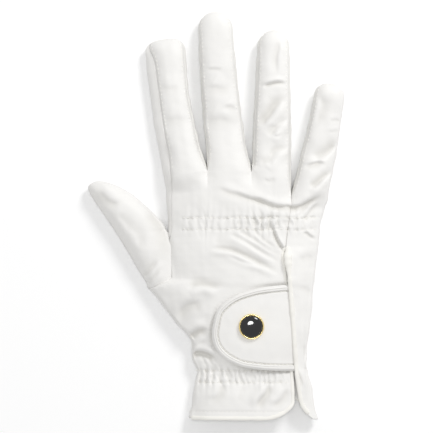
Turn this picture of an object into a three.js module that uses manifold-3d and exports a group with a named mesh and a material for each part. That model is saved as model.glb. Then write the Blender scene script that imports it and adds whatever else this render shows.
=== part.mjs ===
// A horse riding glove for the right hand, lying palm down with its back up. Millimetres.
// +X points to the little finger's side, +Y to the fingertips and +Z up, out of the back of the hand.
// Every leather panel is an open sheet with a real wall, so the hand, the fingers and the thumb are hollow.
import * as THREE from "three";
import { mergeVertices } from "three/addons/utils/BufferGeometryUtils.js";
import Module from "manifold-3d";

const wasm = await Module();
wasm.setup();
const { clamp, lerp, smoothstep, degToRad } = THREE.MathUtils;

// Leather and sewing
const leatherThickness = 1.0;
const seamGap = 0.3;
const bindingWidth = 2.2;
const bindingHeight = 1.4;

// Fingers: width at the knuckle line, and length from the knuckle line to the tip
const indexWidth = 26;
const middleWidth = 26.4;
const ringWidth = 24;
const littleWidth = 22.6;
const indexLength = 82;
const middleLength = 96.6;
const ringLength = 92.7;
const littleLength = 67.2;

// Heights over the table that the glove lies on
const fingerThickness = 12.6;
const handThickness = 16.5;
const wristThickness = 13.5;
const cuffThickness = 14.5;
const thumbThickness = 12.8;
const backSeamHeight = 9.2;
const palmSeamHeight = 1.7;
const tipSeamHeight = 4.2;
const wristSeamHeight = 7;

// The hand, the wrist and the thumb in plan
const handLength = 146.4;
const wristWidth = 66;
const cuffWidth = 76.5;
const thumbReach = 48.3;
const thumbRise = 32.4;
const thumbRoot = 30.3;

// The closure tab and its dome button
const tabLength = 51.4;
const tabThickness = 1.6;
const tabRootThickness = 1.0;
const patchThickness = 0.8;
const domeRadius = 6.6;
const domeHeight = 2.4;
const rimWidth = 0.7;
const rimHeight = 1.5;
const postRadius = 1.6;

// One row for each finger: splay in degrees to +X, bow and tip shape, and each seam's inset as a share of the
// width
const fingers = [
  { name: "index", width: indexWidth, length: indexLength, splay: -8.2, bow: -0.1,
    tipShare: 0.117, tipPower: 2.8, seamLeft: 0.19, seamRight: 0.062 },
  { name: "middle", width: middleWidth, length: middleLength, splay: -4.9, bow: -0.06,
    tipShare: 0.118, tipPower: 2.1, seamLeft: 0.05, seamRight: 0.05 },
  { name: "ring", width: ringWidth, length: ringLength, splay: 0.9, bow: 0,
    tipShare: 0.13, tipPower: 2.0, seamLeft: 0.092, seamRight: 0.062 },
  { name: "little", width: littleWidth, length: littleLength, splay: 10.7, bow: 0.04,
    tipShare: 0.125, tipPower: 2.1, seamLeft: 0.058, seamRight: 0.058 },
];

// Half width of each finger along its length, as a share of its half width at the knuckle line
const fingerTaper = [
  { at: 0, index: 1, middle: 1, ring: 1, little: 1 },
  { at: 0.15, index: 0.95, middle: 0.91, ring: 0.97, little: 0.95 },
  { at: 0.35, index: 0.92, middle: 0.87, ring: 0.95, little: 0.92 },
  { at: 0.6, index: 0.88, middle: 0.83, ring: 0.88, little: 0.85 },
  { at: 0.85, index: 0.92, middle: 0.79, ring: 0.82, little: 0.82 },
];

// Height of each crotch over the knuckle line, as a share of the hand's length, from the index to the little side
const crotchRise = [0, 0.02, 0.016, -0.082, -0.057];

// The hand from the knuckle line down to the hem. down is a share of handLength, left and right are shares of the
// local width on each side of the centre line, seam is the left seam's inset, height is a share of the local
// thickness, seamShare a share of the local seam height, and mouth is 1 where the thumb opens into the hand.
const handRows = [
  { down: 0, left: -0.5, right: 0.5, seam: 0.04, height: 0.86, seamShare: 1, mouth: 0 },
  { down: 0.05, left: -0.5, right: 0.5, seam: 0.031, height: 0.95, seamShare: 1, mouth: 0 },
  { down: 0.1, left: -0.51, right: 0.49, seam: 0.023, height: 0.99, seamShare: 1, mouth: 0 },
  { down: 0.135, left: -0.515, right: 0.49, seam: 0.019, height: 0.96, seamShare: 1, mouth: 0 },
  { down: 0.165, left: -0.52, right: 0.485, seam: 0.016, height: 0.93, seamShare: 1, mouth: 0 },
  { down: 0.191, left: -0.525, right: 0.48, seam: 0.015, height: 0.95, seamShare: 1, mouth: 0 },
  { down: 0.217, left: -0.53, right: 0.48, seam: 0.014, height: 0.93, seamShare: 1, mouth: 0 },
  { down: 0.245, left: -0.54, right: 0.48, seam: 0.01, height: 0.97, seamShare: 1, mouth: 0 },
  { down: 0.275, left: -0.545, right: 0.48, seam: 0.0025, height: 1, seamShare: 1, mouth: 1 },
  { down: 0.33, left: -0.56, right: 0.48, seam: 0.0025, height: 1, seamShare: 1, mouth: 1 },
  { down: 0.38, left: -0.57, right: 0.475, seam: 0.0025, height: 1, seamShare: 1, mouth: 1 },
  { down: 0.42, left: -0.58, right: 0.475, seam: 0.0025, height: 0.99, seamShare: 1.0, mouth: 1 },
  { down: 0.439, left: -0.655, right: 0.475, seam: 0.0025, height: 0.99, seamShare: 1.1, mouth: 1 },
  { down: 0.459, left: -0.757, right: 0.475, seam: 0.0075, height: 0.98, seamShare: 0.75, mouth: 0 },
  { down: 0.492, left: -0.726, right: 0.475, seam: 0.0125, height: 0.98, seamShare: 0.8, mouth: 0 },
  { down: 0.54, left: -0.682, right: 0.48, seam: 0.014, height: 0.98, seamShare: 0.9, mouth: 0 },
  { down: 0.615, left: -0.601, right: 0.48, seam: 0.014, height: 0.99, seamShare: 0.98, mouth: 0 },
  { down: 0.69, left: -0.515, right: 0.475, seam: 0.014, height: 1, seamShare: 1, mouth: 0 },
  { down: 0.755, left: -0.53, right: 0.477, seam: 0.014, height: 0.98, seamShare: 1, mouth: 0 },
  { down: 0.785, left: -0.512, right: 0.486, seam: 0.014, height: 0.955, seamShare: 1, mouth: 0 },
  { down: 0.805, left: -0.5, right: 0.505, seam: 0.014, height: 0.94, seamShare: 1, mouth: 0 },
  { down: 0.85, left: -0.5, right: 0.51, seam: 0.014, height: 0.94, seamShare: 1, mouth: 0 },
  { down: 0.9, left: -0.5, right: 0.51, seam: 0.014, height: 1, seamShare: 1, mouth: 0 },
  { down: 0.945, left: -0.495, right: 0.505, seam: 0.014, height: 1, seamShare: 1, mouth: 0 },
  { down: 0.97, left: -0.495, right: 0.507, seam: 0.014, height: 1, seamShare: 1, mouth: 0 },
  { down: 1, left: -0.5, right: 0.512, seam: 0.014, height: 1, seamShare: 1, mouth: 0 },
];

// The wrist vent: back is the edge of the back panel and side the edge of the side panel, as shares of the local
// width right of the centre line. lift is how far the side panel's edge stands over the back, in leather walls.
const ventRows = [
  { down: 0.05, back: 0.272, side: 0.272, lift: 0 },
  { down: 0.165, back: 0.27, side: 0.27, lift: 0 },
  { down: 0.23, back: 0.262, side: 0.262, lift: 0.4 },
  { down: 0.285, back: 0.236, side: 0.268, lift: 1.6 },
  { down: 0.33, back: 0.24, side: 0.272, lift: 2.4 },
  { down: 0.42, back: 0.255, side: 0.27, lift: 3.2 },
  { down: 0.69, back: 0.33, side: 0.345, lift: 3.2 },
  { down: 0.805, back: 0.365, side: 0.375, lift: 3.2 },
  { down: 0.83, back: 0.36, side: 0.38, lift: 2.4 },
  { down: 0.88, back: 0.35, side: 0.395, lift: 1.2 },
  { down: 0.92, back: 0.335, side: 0.41, lift: 0.6 },
  { down: 0.945, back: 0.31, side: 0.405, lift: 0.3 },
  { down: 0.97, back: 0.25, side: 0.412, lift: 0 },
  { down: 1, back: 0.12, side: 0.42, lift: 0 },
];

// Rows of elastic gathers across the back, and the pleats between them: drop and ripple in leather walls, spread a
// share of handLength, from and to the share of the columns that they cross
const gathers = [
  { down: 0.165, drop: 0.5, ripple: 0.3, spread: 0.02, from: 0.1, to: 1 },
  { down: 0.217, drop: 0.5, ripple: 0.3, spread: 0.02, from: 0.1, to: 1 },
  { down: 0.805, drop: 0.5, ripple: 0.3, spread: 0.018, from: 0.02, to: 1 },
  { down: 0.85, drop: 0.5, ripple: 0.3, spread: 0.018, from: 0.02, to: 1 },
];

// Main folds of the back: ends as shares of the knuckle width from the centre line and of handLength from the
// knuckle line, width as a share of handLength and depth in leather walls, where a ridge is negative
const folds = [
  { x0: -0.17, y0: 0.05, x1: 0.22, y1: 0.125, width: 0.022, depth: 1.5 },
  { x0: 0.22, y0: 0.125, x1: 0.46, y1: 0.08, width: 0.022, depth: 1.6 },
  { x0: -0.2, y0: 0.02, x1: 0.3, y1: 0.085, width: 0.03, depth: -0.8 },
  { x0: -0.2, y0: 0.3, x1: 0.2, y1: 0.4, width: 0.02, depth: 1.0 },
  { x0: -0.05, y0: 0.25, x1: 0.2, y1: 0.35, width: 0.018, depth: 0.8 },
  { x0: -0.36, y0: 0.45, x1: -0.1, y1: 0.47, width: 0.02, depth: 0.9 },
  { x0: -0.4, y0: 0.6, x1: -0.24, y1: 0.66, width: 0.02, depth: 1.0 },
  { x0: -0.34, y0: 0.77, x1: -0.2, y1: 0.77, width: 0.012, depth: 1.0 },
];

// The thumb from its root to its tip. x is a share of thumbReach out from the hand's edge and y of thumbRise over
// the crotch, or of thumbRoot below it. height is a share of thumbThickness, mouth is as on the hand, and tip grows
// from 0 to 1 over the round end.
const thumbRows = [
  { leftX: 0.25, leftY: -0.985, rightX: 0, rightY: -0.815, height: 0.82, mouth: 1, tip: 0 },
  { leftX: 0.375, leftY: -0.683, rightX: 0, rightY: -0.535, height: 0.93, mouth: 1, tip: 0 },
  { leftX: 0.48, leftY: -0.386, rightX: 0, rightY: -0.21, height: 1, mouth: 1, tip: 0 },
  { leftX: 0.582, leftY: -0.119, rightX: 0.02, rightY: 0.12, height: 1, mouth: 0, tip: 0 },
  { leftX: 0.688, leftY: 0.139, rightX: 0.15, rightY: 0.38, height: 0.98, mouth: 0, tip: 0 },
  { leftX: 0.795, leftY: 0.37, rightX: 0.308, rightY: 0.61, height: 0.96, mouth: 0, tip: 0 },
  { leftX: 0.9, leftY: 0.602, rightX: 0.478, rightY: 0.81, height: 0.95, mouth: 0, tip: 0.3 },
  { leftX: 0.975, leftY: 0.778, rightX: 0.65, rightY: 0.945, height: 0.93, mouth: 0, tip: 0.62 },
  { leftX: 0.992, leftY: 0.849, rightX: 0.745, rightY: 0.99, height: 0.92, mouth: 0, tip: 0.86 },
  { leftX: 1.0, leftY: 0.915, rightX: 0.84, rightY: 1.02, height: 0.9, mouth: 0, tip: 1 },
];

// The closure tab from its root under the side panel to its round nose: top and bottom edges as shares of its height
const tabRows = [
  { along: 0, top: 0.5, bottom: -0.5 },
  { along: 0.09, top: 0.5, bottom: -0.5 },
  { along: 0.2, top: 0.492, bottom: -0.5 },
  { along: 0.3, top: 0.482, bottom: -0.497 },
  { along: 0.43, top: 0.464, bottom: -0.491 },
  { along: 0.55, top: 0.434, bottom: -0.478 },
  { along: 0.67, top: 0.396, bottom: -0.46 },
  { along: 0.83, top: 0.308, bottom: -0.396 },
  { along: 0.946, top: 0.189, bottom: -0.302 },
  { along: 1, top: 0.03, bottom: -0.207 },
];
const tabTop = 0.4475;
const tabBottom = 0.794;
const tabOverlap = 5;
const tabBend = 0.1;
const tabSettled = 0.36;
const buttonAlong = 0.56;
const buttonAcross = 0.018;

// How finely the panels are divided
const backStations = [-1, -0.87, -0.62, -0.32, 0, 0.32, 0.62, 0.87, 1];
const palmStations = [-1, -0.86, -0.7, 0.7, 0.86, 1];
const littlePalmStations = [-1, -0.86, -0.7, -0.15, 0.7, 0.86, 1];
const wallColumns = 3;
const forkColumns = 2;
const straightStations = [0.05, 0.16, 0.34, 0.56, 0.78, 1];
const backOnly = [0.135, 0.165, 0.191, 0.217, 0.38, 0.805, 0.97];
const tipAngles = [20, 36, 50];
const puckers = 16;

// Shapes of the cross sections
const backDome = 2.8;
const palmFlat = 0.7;
const rootBlend = 14;
const knuckleBlend = 26;
const crotchBlend = 9;
const palmInset = 1.2;
const crotchBulge = 1;
const seamDrop = 0.9 * leatherThickness + seamGap;
const tipDrop = 1.2 * leatherThickness + seamGap;
const thumbDrop = 1.4 * leatherThickness + seamGap;
const thumbArch = 0.12;
const crotchDown = 0.245;
const notchAt = 0.355;
const notchDepth = 0.06;
const notchWidth = 0.07;
const patchMargin = 0.12;
const tipStep = seamDrop + 0.5;

// A column of a table at a place between its rows, along straight lines
function lookUp(table, key, at, column) {
  const last = table.length - 1;
  if (at <= table[0][key]) return table[0][column];
  if (at >= table[last][key]) return table[last][column];
  const next = table.findIndex((row) => row[key] >= at);
  const before = table[next - 1];
  const after = table[next];
  const share = (at - before[key]) / (after[key] - before[key]);
  return lerp(before[column], after[column], share);
}

// The plan of the hand
const knuckleWidth = fingers.reduce((sum, finger) => sum + finger.width, 0);
const wristDown = 0.805;
const centreDrift = 0.037 * knuckleWidth;
const spread = [0, 1, 2, 3, 4].map((n) => fingers.slice(0, n).reduce((sum, finger) => sum + finger.width, 0));

const localWidth = (down) =>
  down < wristDown
    ? lerp(knuckleWidth, wristWidth, down / wristDown)
    : lerp(wristWidth, cuffWidth, (down - wristDown) / (1 - wristDown));
const centreX = (down) => centreDrift * Math.min(1, down / wristDown);
const leftX = (down) => centreX(down) + lookUp(handRows, "down", down, "left") * localWidth(down);
const rightX = (down) => centreX(down) + lookUp(handRows, "down", down, "right") * localWidth(down);
const seamLeftX = (down) => leftX(down) + lookUp(handRows, "down", down, "seam") * localWidth(down);
const seamRightX = (down) => rightX(down) - palmInset;
const ventX = (down, column) => centreX(down) + lookUp(ventRows, "down", down, column) * localWidth(down);
const mouthAt = (down) => lookUp(handRows, "down", down, "mouth");
const downOf = (y) => clamp(-y / handLength, 0, 1);

// Heights of the hand at a share of its length
function handHeights(down) {
  const thickness =
    down < wristDown
      ? lerp(handThickness, wristThickness, smoothstep(down, 0.35, wristDown))
      : lerp(wristThickness, cuffThickness, (down - wristDown) / (1 - wristDown));
  const seam = lerp(backSeamHeight, wristSeamHeight, smoothstep(down, 0.5, wristDown));
  return {
    top: thickness * lookUp(handRows, "down", down, "height"),
    left: seam * lookUp(handRows, "down", down, "seamShare"),
    right: seam,
  };
}

// The smooth outer height of the hand's back over a place in plan
function handTop(x, y) {
  const down = downOf(y);
  const { top, left, right } = handHeights(down);
  const across = clamp((2 * (x - seamLeftX(down))) / (seamRightX(down) - seamLeftX(down)) - 1, -1, 1);
  const edge = lerp(left, right, (across + 1) / 2);
  return edge + (top - edge) * (1 - Math.abs(across) ** backDome);
}

// How far the folds and the gathers lower the back at a place, where column is the share of the columns from the left
function relief(x, y, column) {
  const down = downOf(y);
  let drop = 0;
  for (const fold of folds) {
    const start = new THREE.Vector2(fold.x0 * knuckleWidth, -fold.y0 * handLength);
    const run = new THREE.Vector2(fold.x1 * knuckleWidth, -fold.y1 * handLength).sub(start);
    const place = new THREE.Vector2(x, y).sub(start);
    const along = place.dot(run) / run.lengthSq();
    if (along <= 0 || along >= 1) continue;
    const away = Math.abs(place.cross(run)) / run.length() / (fold.width * handLength);
    drop += fold.depth * leatherThickness * Math.sin(Math.PI * along) * Math.exp(-away * away);
  }
  for (const gather of gathers) {
    if (column < gather.from || column > gather.to) continue;
    const near = Math.exp(-(((down - gather.down) / gather.spread) ** 2));
    drop += near * leatherThickness * (gather.drop + gather.ripple * Math.cos(2 * Math.PI * puckers * column));
  }
  return drop;
}

// One finger's plan: its centre line, its outline and its seams, by the distance along it
function fingerPlan(n) {
  const finger = fingers[n];
  const line = -knuckleWidth / 2;
  const ends = [n, n + 1].map((k) => new THREE.Vector2(line + spread[k], crotchRise[k] * handLength));
  const base = ends[0].clone().add(ends[1]).multiplyScalar(0.5);
  const turn = degToRad(finger.splay);
  const ahead = new THREE.Vector2(Math.sin(turn), Math.cos(turn));
  const across = new THREE.Vector2(Math.cos(turn), -Math.sin(turn));
  const tipLength = finger.length * finger.tipShare;
  const straight = finger.length - tipLength;
  const power = 2 / finger.tipPower;
  const stations = [0, ...straightStations].map((share) => ({ along: share * straight, angle: 0 }));
  for (const angle of tipAngles) {
    const rise = Math.sin(degToRad(angle)) ** power;
    stations.push({ along: straight + tipLength * rise, angle });
  }
  const lastRise = Math.sin(degToRad(tipAngles.at(-1))) ** power;
  const arch = tipLength * (1 - lastRise);
  const bowWidth = finger.bow * finger.width;

  const toTip = (along) => clamp((along - straight + tipLength * 0.8) / (tipLength * (lastRise + 0.8)), 0, 1);
  const centre = (along) =>
    base.clone()
      .addScaledVector(ahead, along)
      .addScaledVector(across, bowWidth * Math.sin((Math.PI * Math.min(along, straight)) / straight / 1.25));
  function halfWidth({ along, angle }) {
    const taper = lookUp(fingerTaper, "at", along / finger.length, finger.name);
    return (finger.width / 2) * taper * Math.cos(degToRad(angle)) ** power;
  }
  // side is -1 for the left edge and 1 for the right, and inset is measured in from the outline
  function edge(station, side, inset, start) {
    const fade = 1 - toTip(station.along) ** 2;
    const raw = (at) =>
      centre(at.along).addScaledVector(across, side * (halfWidth(at) - inset * fade));
    const pull = 1 - smoothstep(station.along, 0, rootBlend);
    return raw(station).addScaledVector(start.clone().sub(raw({ along: 0, angle: 0 })), pull);
  }
  const tipArc = (v) => {
    const width = Math.cos(degToRad(tipAngles.at(-1))) ** power;
    return ((1 - (width * Math.abs(v)) ** finger.tipPower) ** (1 / finger.tipPower) - lastRise) / (1 - lastRise);
  };
  const seams = { "-1": finger.seamLeft * finger.width, 1: finger.seamRight * finger.width };
  return { finger, ends, ahead, across, stations, arch, tipArc, straight, tipLength, toTip, edge, seams };
}

const plans = fingers.map((_, n) => fingerPlan(n));

// Heights of a finger's top, back seam and palm seam at a station
function fingerHeights(plan, station) {
  const near = plan.toTip(station.along);
  const settled = smoothstep(station.along, 0, knuckleBlend);
  const swell = lerp(handThickness * handRows[0].height, fingerThickness, settled);
  return {
    near,
    top: swell,
    high: lerp(backSeamHeight, tipSeamHeight + tipStep, near * near),
    low: lerp(palmSeamHeight, tipSeamHeight - tipStep, near * near),
  };
}

// A point of the row between two edge points, bowed ahead by rise
function rowPoint(left, right, v, ahead, rise) {
  return left.clone().lerp(right, (v + 1) / 2).addScaledVector(ahead, rise);
}

function archAt(plan, station) {
  return plan.arch * smoothstep(station.along, plan.straight - 2 * plan.tipLength, plan.stations.at(-1).along);
}

// How much of the height is left towards the tip, from 1 to 0 with a steep end
const tipRound = (near, power) => Math.sqrt(1 - near ** power);

// The back of a finger: rows of points from the knuckle line to the tip
function fingerBack(plan, startLeft, startRight) {
  const { stations, ahead, seams } = plan;
  return stations.map((station) => {
    const left = plan.edge(station, -1, seams[-1], startLeft);
    const right = plan.edge(station, 1, seams[1], startRight);
    const { near, top, high } = fingerHeights(plan, station);
    return backStations.map((v) => {
      const place = rowPoint(left, right, v, ahead, archAt(plan, station) * plan.tipArc(v));
      const seam = high - (tipStep - tipDrop / 2) * near ** 6 * (1 - v ** 4);
      const level = (1 - Math.abs(v) ** backDome) * tipRound(near, 2.2);
      return new THREE.Vector3(place.x, place.y, seam + (top - seam) * level);
    });
  });
}

// The palm side of a finger: flat on the table, rising to its seams near the outline
function fingerPalm(plan, startLeft, startRight) {
  return plan.stations.map((station) => {
    const left = plan.edge(station, -1, palmInset, startLeft);
    const right = plan.edge(station, 1, palmInset, startRight);
    const { near, low } = fingerHeights(plan, station);
    return (plan.finger.name === "little" ? littlePalmStations : palmStations).map((v) => {
      const place = rowPoint(left, right, v, plan.ahead, archAt(plan, station) * plan.tipArc(v));
      const seam = low + (tipStep - tipDrop / 2) * near ** 6 * (1 - v ** 4);
      const level = (1 - palmRise(v)) * tipRound(near, 4);
      return new THREE.Vector3(place.x, place.y, seam * (1 - level));
    });
  });
}
const palmRise = (v) => Math.max(0, (Math.abs(v) - palmFlat) / (1 - palmFlat)) ** 1.6;

// A wall between a back seam and a palm seam, bulging out to the outline: points from high to low
function wallPoints(high, outline, low, columns = wallColumns) {
  const points = [];
  for (let i = 0; i <= columns; i++) {
    const t = i / columns;
    const place = new THREE.Vector3().lerpVectors(high, low, t);
    const middle = high.clone().add(low).multiplyScalar(0.5);
    const bulge = new THREE.Vector3(outline.x - middle.x, outline.y - middle.y, 0);
    points.push(place.addScaledVector(bulge, 4 * t * (1 - t)));
  }
  return points;
}

// The wall on one side of a finger at a station, from the back seam's height to the palm seam's
function fingerWall(plan, station, side, starts, seam, dropHigh, dropLow, columns) {
  const { high, low } = fingerHeights(plan, station);
  const back = plan.edge(station, side, seam, starts.back);
  const out = plan.edge(station, side, 0, starts.outline);
  const under = plan.edge(station, side, palmInset, starts.palm);
  return wallPoints(
    new THREE.Vector3(back.x, back.y, high - dropHigh),
    out,
    new THREE.Vector3(under.x, under.y, low + dropLow),
    columns,
  );
}

// A leather sheet made of grids of points. Its wall lies inside its outer points, along the normals of the smooth
// surface, and its rim closes the edges that only one face has.
class Sheet {
  constructor() {
    this.outer = [];
    this.smooth = [];
    this.faces = [];
    this.found = new Map();
    this.raw = new Map();
  }
  point(place, drop = 0) {
    const key = [place.x, place.y, place.z].map((value) => Math.round(value * 2000)).join();
    if (!this.found.has(key)) {
      this.found.set(key, this.outer.length);
      this.smooth.push(place.clone());
      this.outer.push(new THREE.Vector3(place.x, place.y, place.z - drop));
    }
    return this.found.get(key);
  }
  // rows run one way and the points in them the other, and turned swaps the side that faces out
  grid(rows, turned, dropOf = () => 0) {
    const ids = rows.map((row, j) => row.map((place, i) => this.point(place, dropOf(j, i, place))));
    for (let j = 0; j + 1 < ids.length; j++)
      for (let i = 0; i + 1 < ids[j].length; i++) {
        const face = [ids[j][i], ids[j][i + 1], ids[j + 1][i + 1], ids[j + 1][i]];
        this.faces.push(turned ? face.reverse() : face);
      }
  }
  // the wall of a raw edge goes straight down from it, or straight up from a sheet that faces down
  plumb(places, up = 1) {
    for (const place of places) this.raw.set(this.point(place), new THREE.Vector3(0, 0, up));
  }
  geometry(wall) {
    const normals = this.smooth.map(() => new THREE.Vector3());
    for (const face of this.faces) {
      const [a, b, c, d] = face.map((id) => this.smooth[id]);
      const normal = c.clone().sub(a).cross(d.clone().sub(b));
      face.forEach((id) => normals[id].add(normal));
    }
    this.raw.forEach((direction, id) => normals[id].copy(direction));
    const count = this.outer.length;
    const inner = this.outer.map((place, id) => {
      const depth = Array.isArray(wall) ? wall[id] : wall;
      return place.clone().addScaledVector(normals[id].normalize(), -depth);
    });
    const edges = new Set();
    for (const face of this.faces) face.forEach((id, k) => edges.add(id + "," + face[(k + 1) % 4]));
    const triangles = [];
    const quad = (a, b, c, d) => {
      if (new Set([a, b, c]).size === 3) triangles.push(a, b, c);
      if (new Set([a, c, d]).size === 3) triangles.push(a, c, d);
    };
    for (const [a, b, c, d] of this.faces) {
      quad(a, b, c, d);
      quad(a + count, d + count, c + count, b + count);
    }
    for (const edge of edges) {
      const [a, b] = edge.split(",").map(Number);
      if (a !== b && !edges.has(b + "," + a)) quad(b, a, a + count, b + count);
    }
    const geometry = new THREE.BufferGeometry();
    const places = [...this.outer, ...inner].flatMap((place) => [place.x, place.y, place.z]);
    geometry.setAttribute("position", new THREE.Float32BufferAttribute(places, 3));
    geometry.setIndex(triangles);
    return geometry;
  }
}

// A band with a rounded section along a raw edge, which stands off the edge on its outer side: away is 1 when the
// outer side lies to the right of the path, seen from above
function edgeBand(points, away, width, heightAt) {
  const sides = 6;
  const places = [];
  points.forEach((point, k) => {
    const run = points[Math.min(points.length - 1, k + 1)].clone().sub(points[Math.max(0, k - 1)]);
    const out = new THREE.Vector3(run.y, -run.x, 0).normalize().multiplyScalar(away);
    for (let n = 0; n < sides; n++) {
      const angle = (2 * Math.PI * (n + 0.5)) / sides;
      const place = point.clone().addScaledVector(out, seamGap + (width / 2) * (1.02 + Math.cos(angle)));
      place.z += (heightAt(k) / 2) * (Math.sin(angle) / Math.sin(Math.PI / 2));
      places.push(place.x, place.y, Math.max(0, place.z));
    }
  });
  const triangles = [];
  for (let k = 0; k + 1 < points.length; k++)
    for (let n = 0; n < sides; n++) {
      const a = k * sides + n;
      const b = k * sides + ((n + 1) % sides);
      triangles.push(a, b, b + sides, a, b + sides, a + sides);
    }
  const end = (points.length - 1) * sides;
  for (let n = 1; n + 1 < sides; n++) triangles.push(0, n + 1, n, end, end + n, end + n + 1);
  if (away > 0) triangles.reverse();
  const geometry = new THREE.BufferGeometry();
  geometry.setAttribute("position", new THREE.Float32BufferAttribute(places, 3));
  geometry.setIndex(triangles);
  return geometry;
}

// A closed geometry as a solid that can be cut, and back
function toSolid(geometry) {
  const bare = new THREE.BufferGeometry();
  bare.setAttribute("position", geometry.getAttribute("position"));
  bare.setIndex(geometry.index);
  const merged = mergeVertices(bare, 1e-4);
  return new wasm.Manifold(
    new wasm.Mesh({
      numProp: 3,
      vertProperties: merged.attributes.position.array,
      triVerts: new Uint32Array(merged.index.array),
    }),
  );
}
function toGeometry(solid) {
  const mesh = solid.getMesh();
  const geometry = new THREE.BufferGeometry();
  geometry.setAttribute("position", new THREE.BufferAttribute(mesh.vertProperties, 3));
  geometry.setIndex(new THREE.BufferAttribute(mesh.triVerts, 1));
  return geometry;
}

// Materials of the real glove
const leatherWhite = new THREE.MeshStandardMaterial({ color: 0xf0efeb, roughness: 0.62, metalness: 0 });
const fourchetteWhite = new THREE.MeshStandardMaterial({ color: 0xe9e8e3, roughness: 0.7, metalness: 0 });
const bindingCream = new THREE.MeshStandardMaterial({ color: 0xf1eee2, roughness: 0.6, metalness: 0 });
const hookWhite = new THREE.MeshStandardMaterial({ color: 0xe6e5df, roughness: 0.9, metalness: 0 });
const domeBlack = new THREE.MeshStandardMaterial({ color: 0x0a0a0b, roughness: 0.12, metalness: 0 });
const rimGold = new THREE.MeshStandardMaterial({ color: 0xd8b45a, roughness: 0.25, metalness: 1 });
const postSteel = new THREE.MeshStandardMaterial({ color: 0xb9bbbd, roughness: 0.35, metalness: 1 });

const glove = new THREE.Group();
function addPiece(name, geometry, material, parent = glove) {
  const mesh = new THREE.Mesh(geometry, material);
  mesh.name = name;
  parent.add(mesh);
  return mesh;
}

// Starts of the finger edges on the knuckle line: at a crotch, and at the outer seams of the hand
const ventSplit = 3;
const half = seamGap * 0.75;
const crotch = (k) => plans[Math.min(k, 3)].ends[k === 4 ? 1 : 0];
function starts(k, side) {
  const place = crotch(k).clone();
  if (k === ventSplit) place.x += side === 1 ? -half : half;
  const outline = crotch(k).clone();
  if (k > 0 && k < 4) outline.y += crotchBulge;
  const back = place.clone();
  const palm = crotch(k).clone();
  if (k === 0) {
    back.x = seamLeftX(0);
    palm.x += palmInset;
  }
  if (k === 4) {
    back.x = seamRightX(0);
    palm.x = seamRightX(0);
  }
  return { back, outline, palm };
}

const backRows = plans.map((plan, n) => fingerBack(plan, starts(n, -1).back, starts(n + 1, 1).back));
const palmRows = plans.map((plan, n) => fingerPalm(plan, starts(n, -1).palm, starts(n + 1, 1).palm));

// The hand's stations from the knuckle line to the hem
const stations = handRows.map((row) => row.down);
const last = stations.length - 1;
const ventStart = 0.25;
const bindingRoom = (down) => (down >= ventStart + 0.02 ? bindingWidth + seamGap : 0);
const hemRoom = bindingWidth + seamGap;

// A row across the hand: the knuckle line's own bends fade out below it, and its columns close up to the edges
function handRow(first, down, left, right, room, heightOf) {
  const start = first[0];
  const width = first.at(-1).x - start.x;
  const fade = 1 - smoothstep(down, 0, 0.2);
  return first.map((place, i) => {
    const x = lerp(left, right, (place.x - start.x) / width);
    const y = -down * (handLength - room) + place.y * fade;
    return new THREE.Vector3(x, y, heightOf(x, y, place, i));
  });
}

// The back's height just below the fingers still has their rounds, and further down it is the hand's dome
function backHeight(x, y, down, place) {
  const keep = 1 - smoothstep(down * handLength, 0, knuckleBlend);
  return lerp(handTop(x, y), place.z, keep);
}

const topFirst = backRows.slice(0, ventSplit).flatMap((rows, n) => (n ? rows[0].slice(1) : rows[0]));
const sideFirst = backRows[ventSplit][0];
const fingerColumns = backStations.length - 1;
const columnCount = 4 * fingerColumns;
const sideColumn = columnCount - fingerColumns;

const backHand = stations.map((down, j) => {
  if (j === 0) return topFirst;
  const right = ventX(down, "back") - half - bindingRoom(down);
  return handRow(topFirst, down, seamLeftX(down), right, hemRoom, (x, y, place) => backHeight(x, y, down, place));
});
const sideTop = stations.map((down, j) => {
  if (j === 0) return sideFirst;
  const left = ventX(down, "side") + half + bindingRoom(down);
  const right = seamRightX(down);
  const lift = lookUp(ventRows, "down", down, "lift") * leatherThickness;
  const held = Math.max(0, tabOverlap + 1 - bindingRoom(down));
  return handRow(sideFirst, down, left, right, 0, (x, y, place) => {
    const level = handTop(left - bindingRoom(down), y) - handTop(left, y);
    const raise = (lift + level) * (1 - smoothstep(x - left, held, Math.max(held + 1, right - left)));
    return backHeight(x, y, down, place) + raise;
  });
});
const dropAt = (offset) => (j, i, place) => (j === 0 ? 0 : relief(place.x, place.y, (i + offset) / columnCount));
const raw = (rows, j, i, offset) => {
  const place = rows[j][i].clone();
  place.z -= dropAt(offset)(j, i, place) + leatherThickness / 2;
  return place;
};

// Back panel: the back of the hand with the index, middle and ring fingers' backs
const backPanel = new Sheet();
backPanel.grid(backHand, true, dropAt(0));
backRows.slice(0, ventSplit).forEach((rows) => backPanel.grid(rows, false));
const bound = stations.findIndex((down) => bindingRoom(down) > 0);
const lastOf = (row) => row.length - 1;
backPanel.plumb([...backHand.slice(bound).map((row) => row.at(-1)), ...backHand[last]]);
addPiece("back_panel", backPanel.geometry(leatherThickness), leatherWhite);

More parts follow.
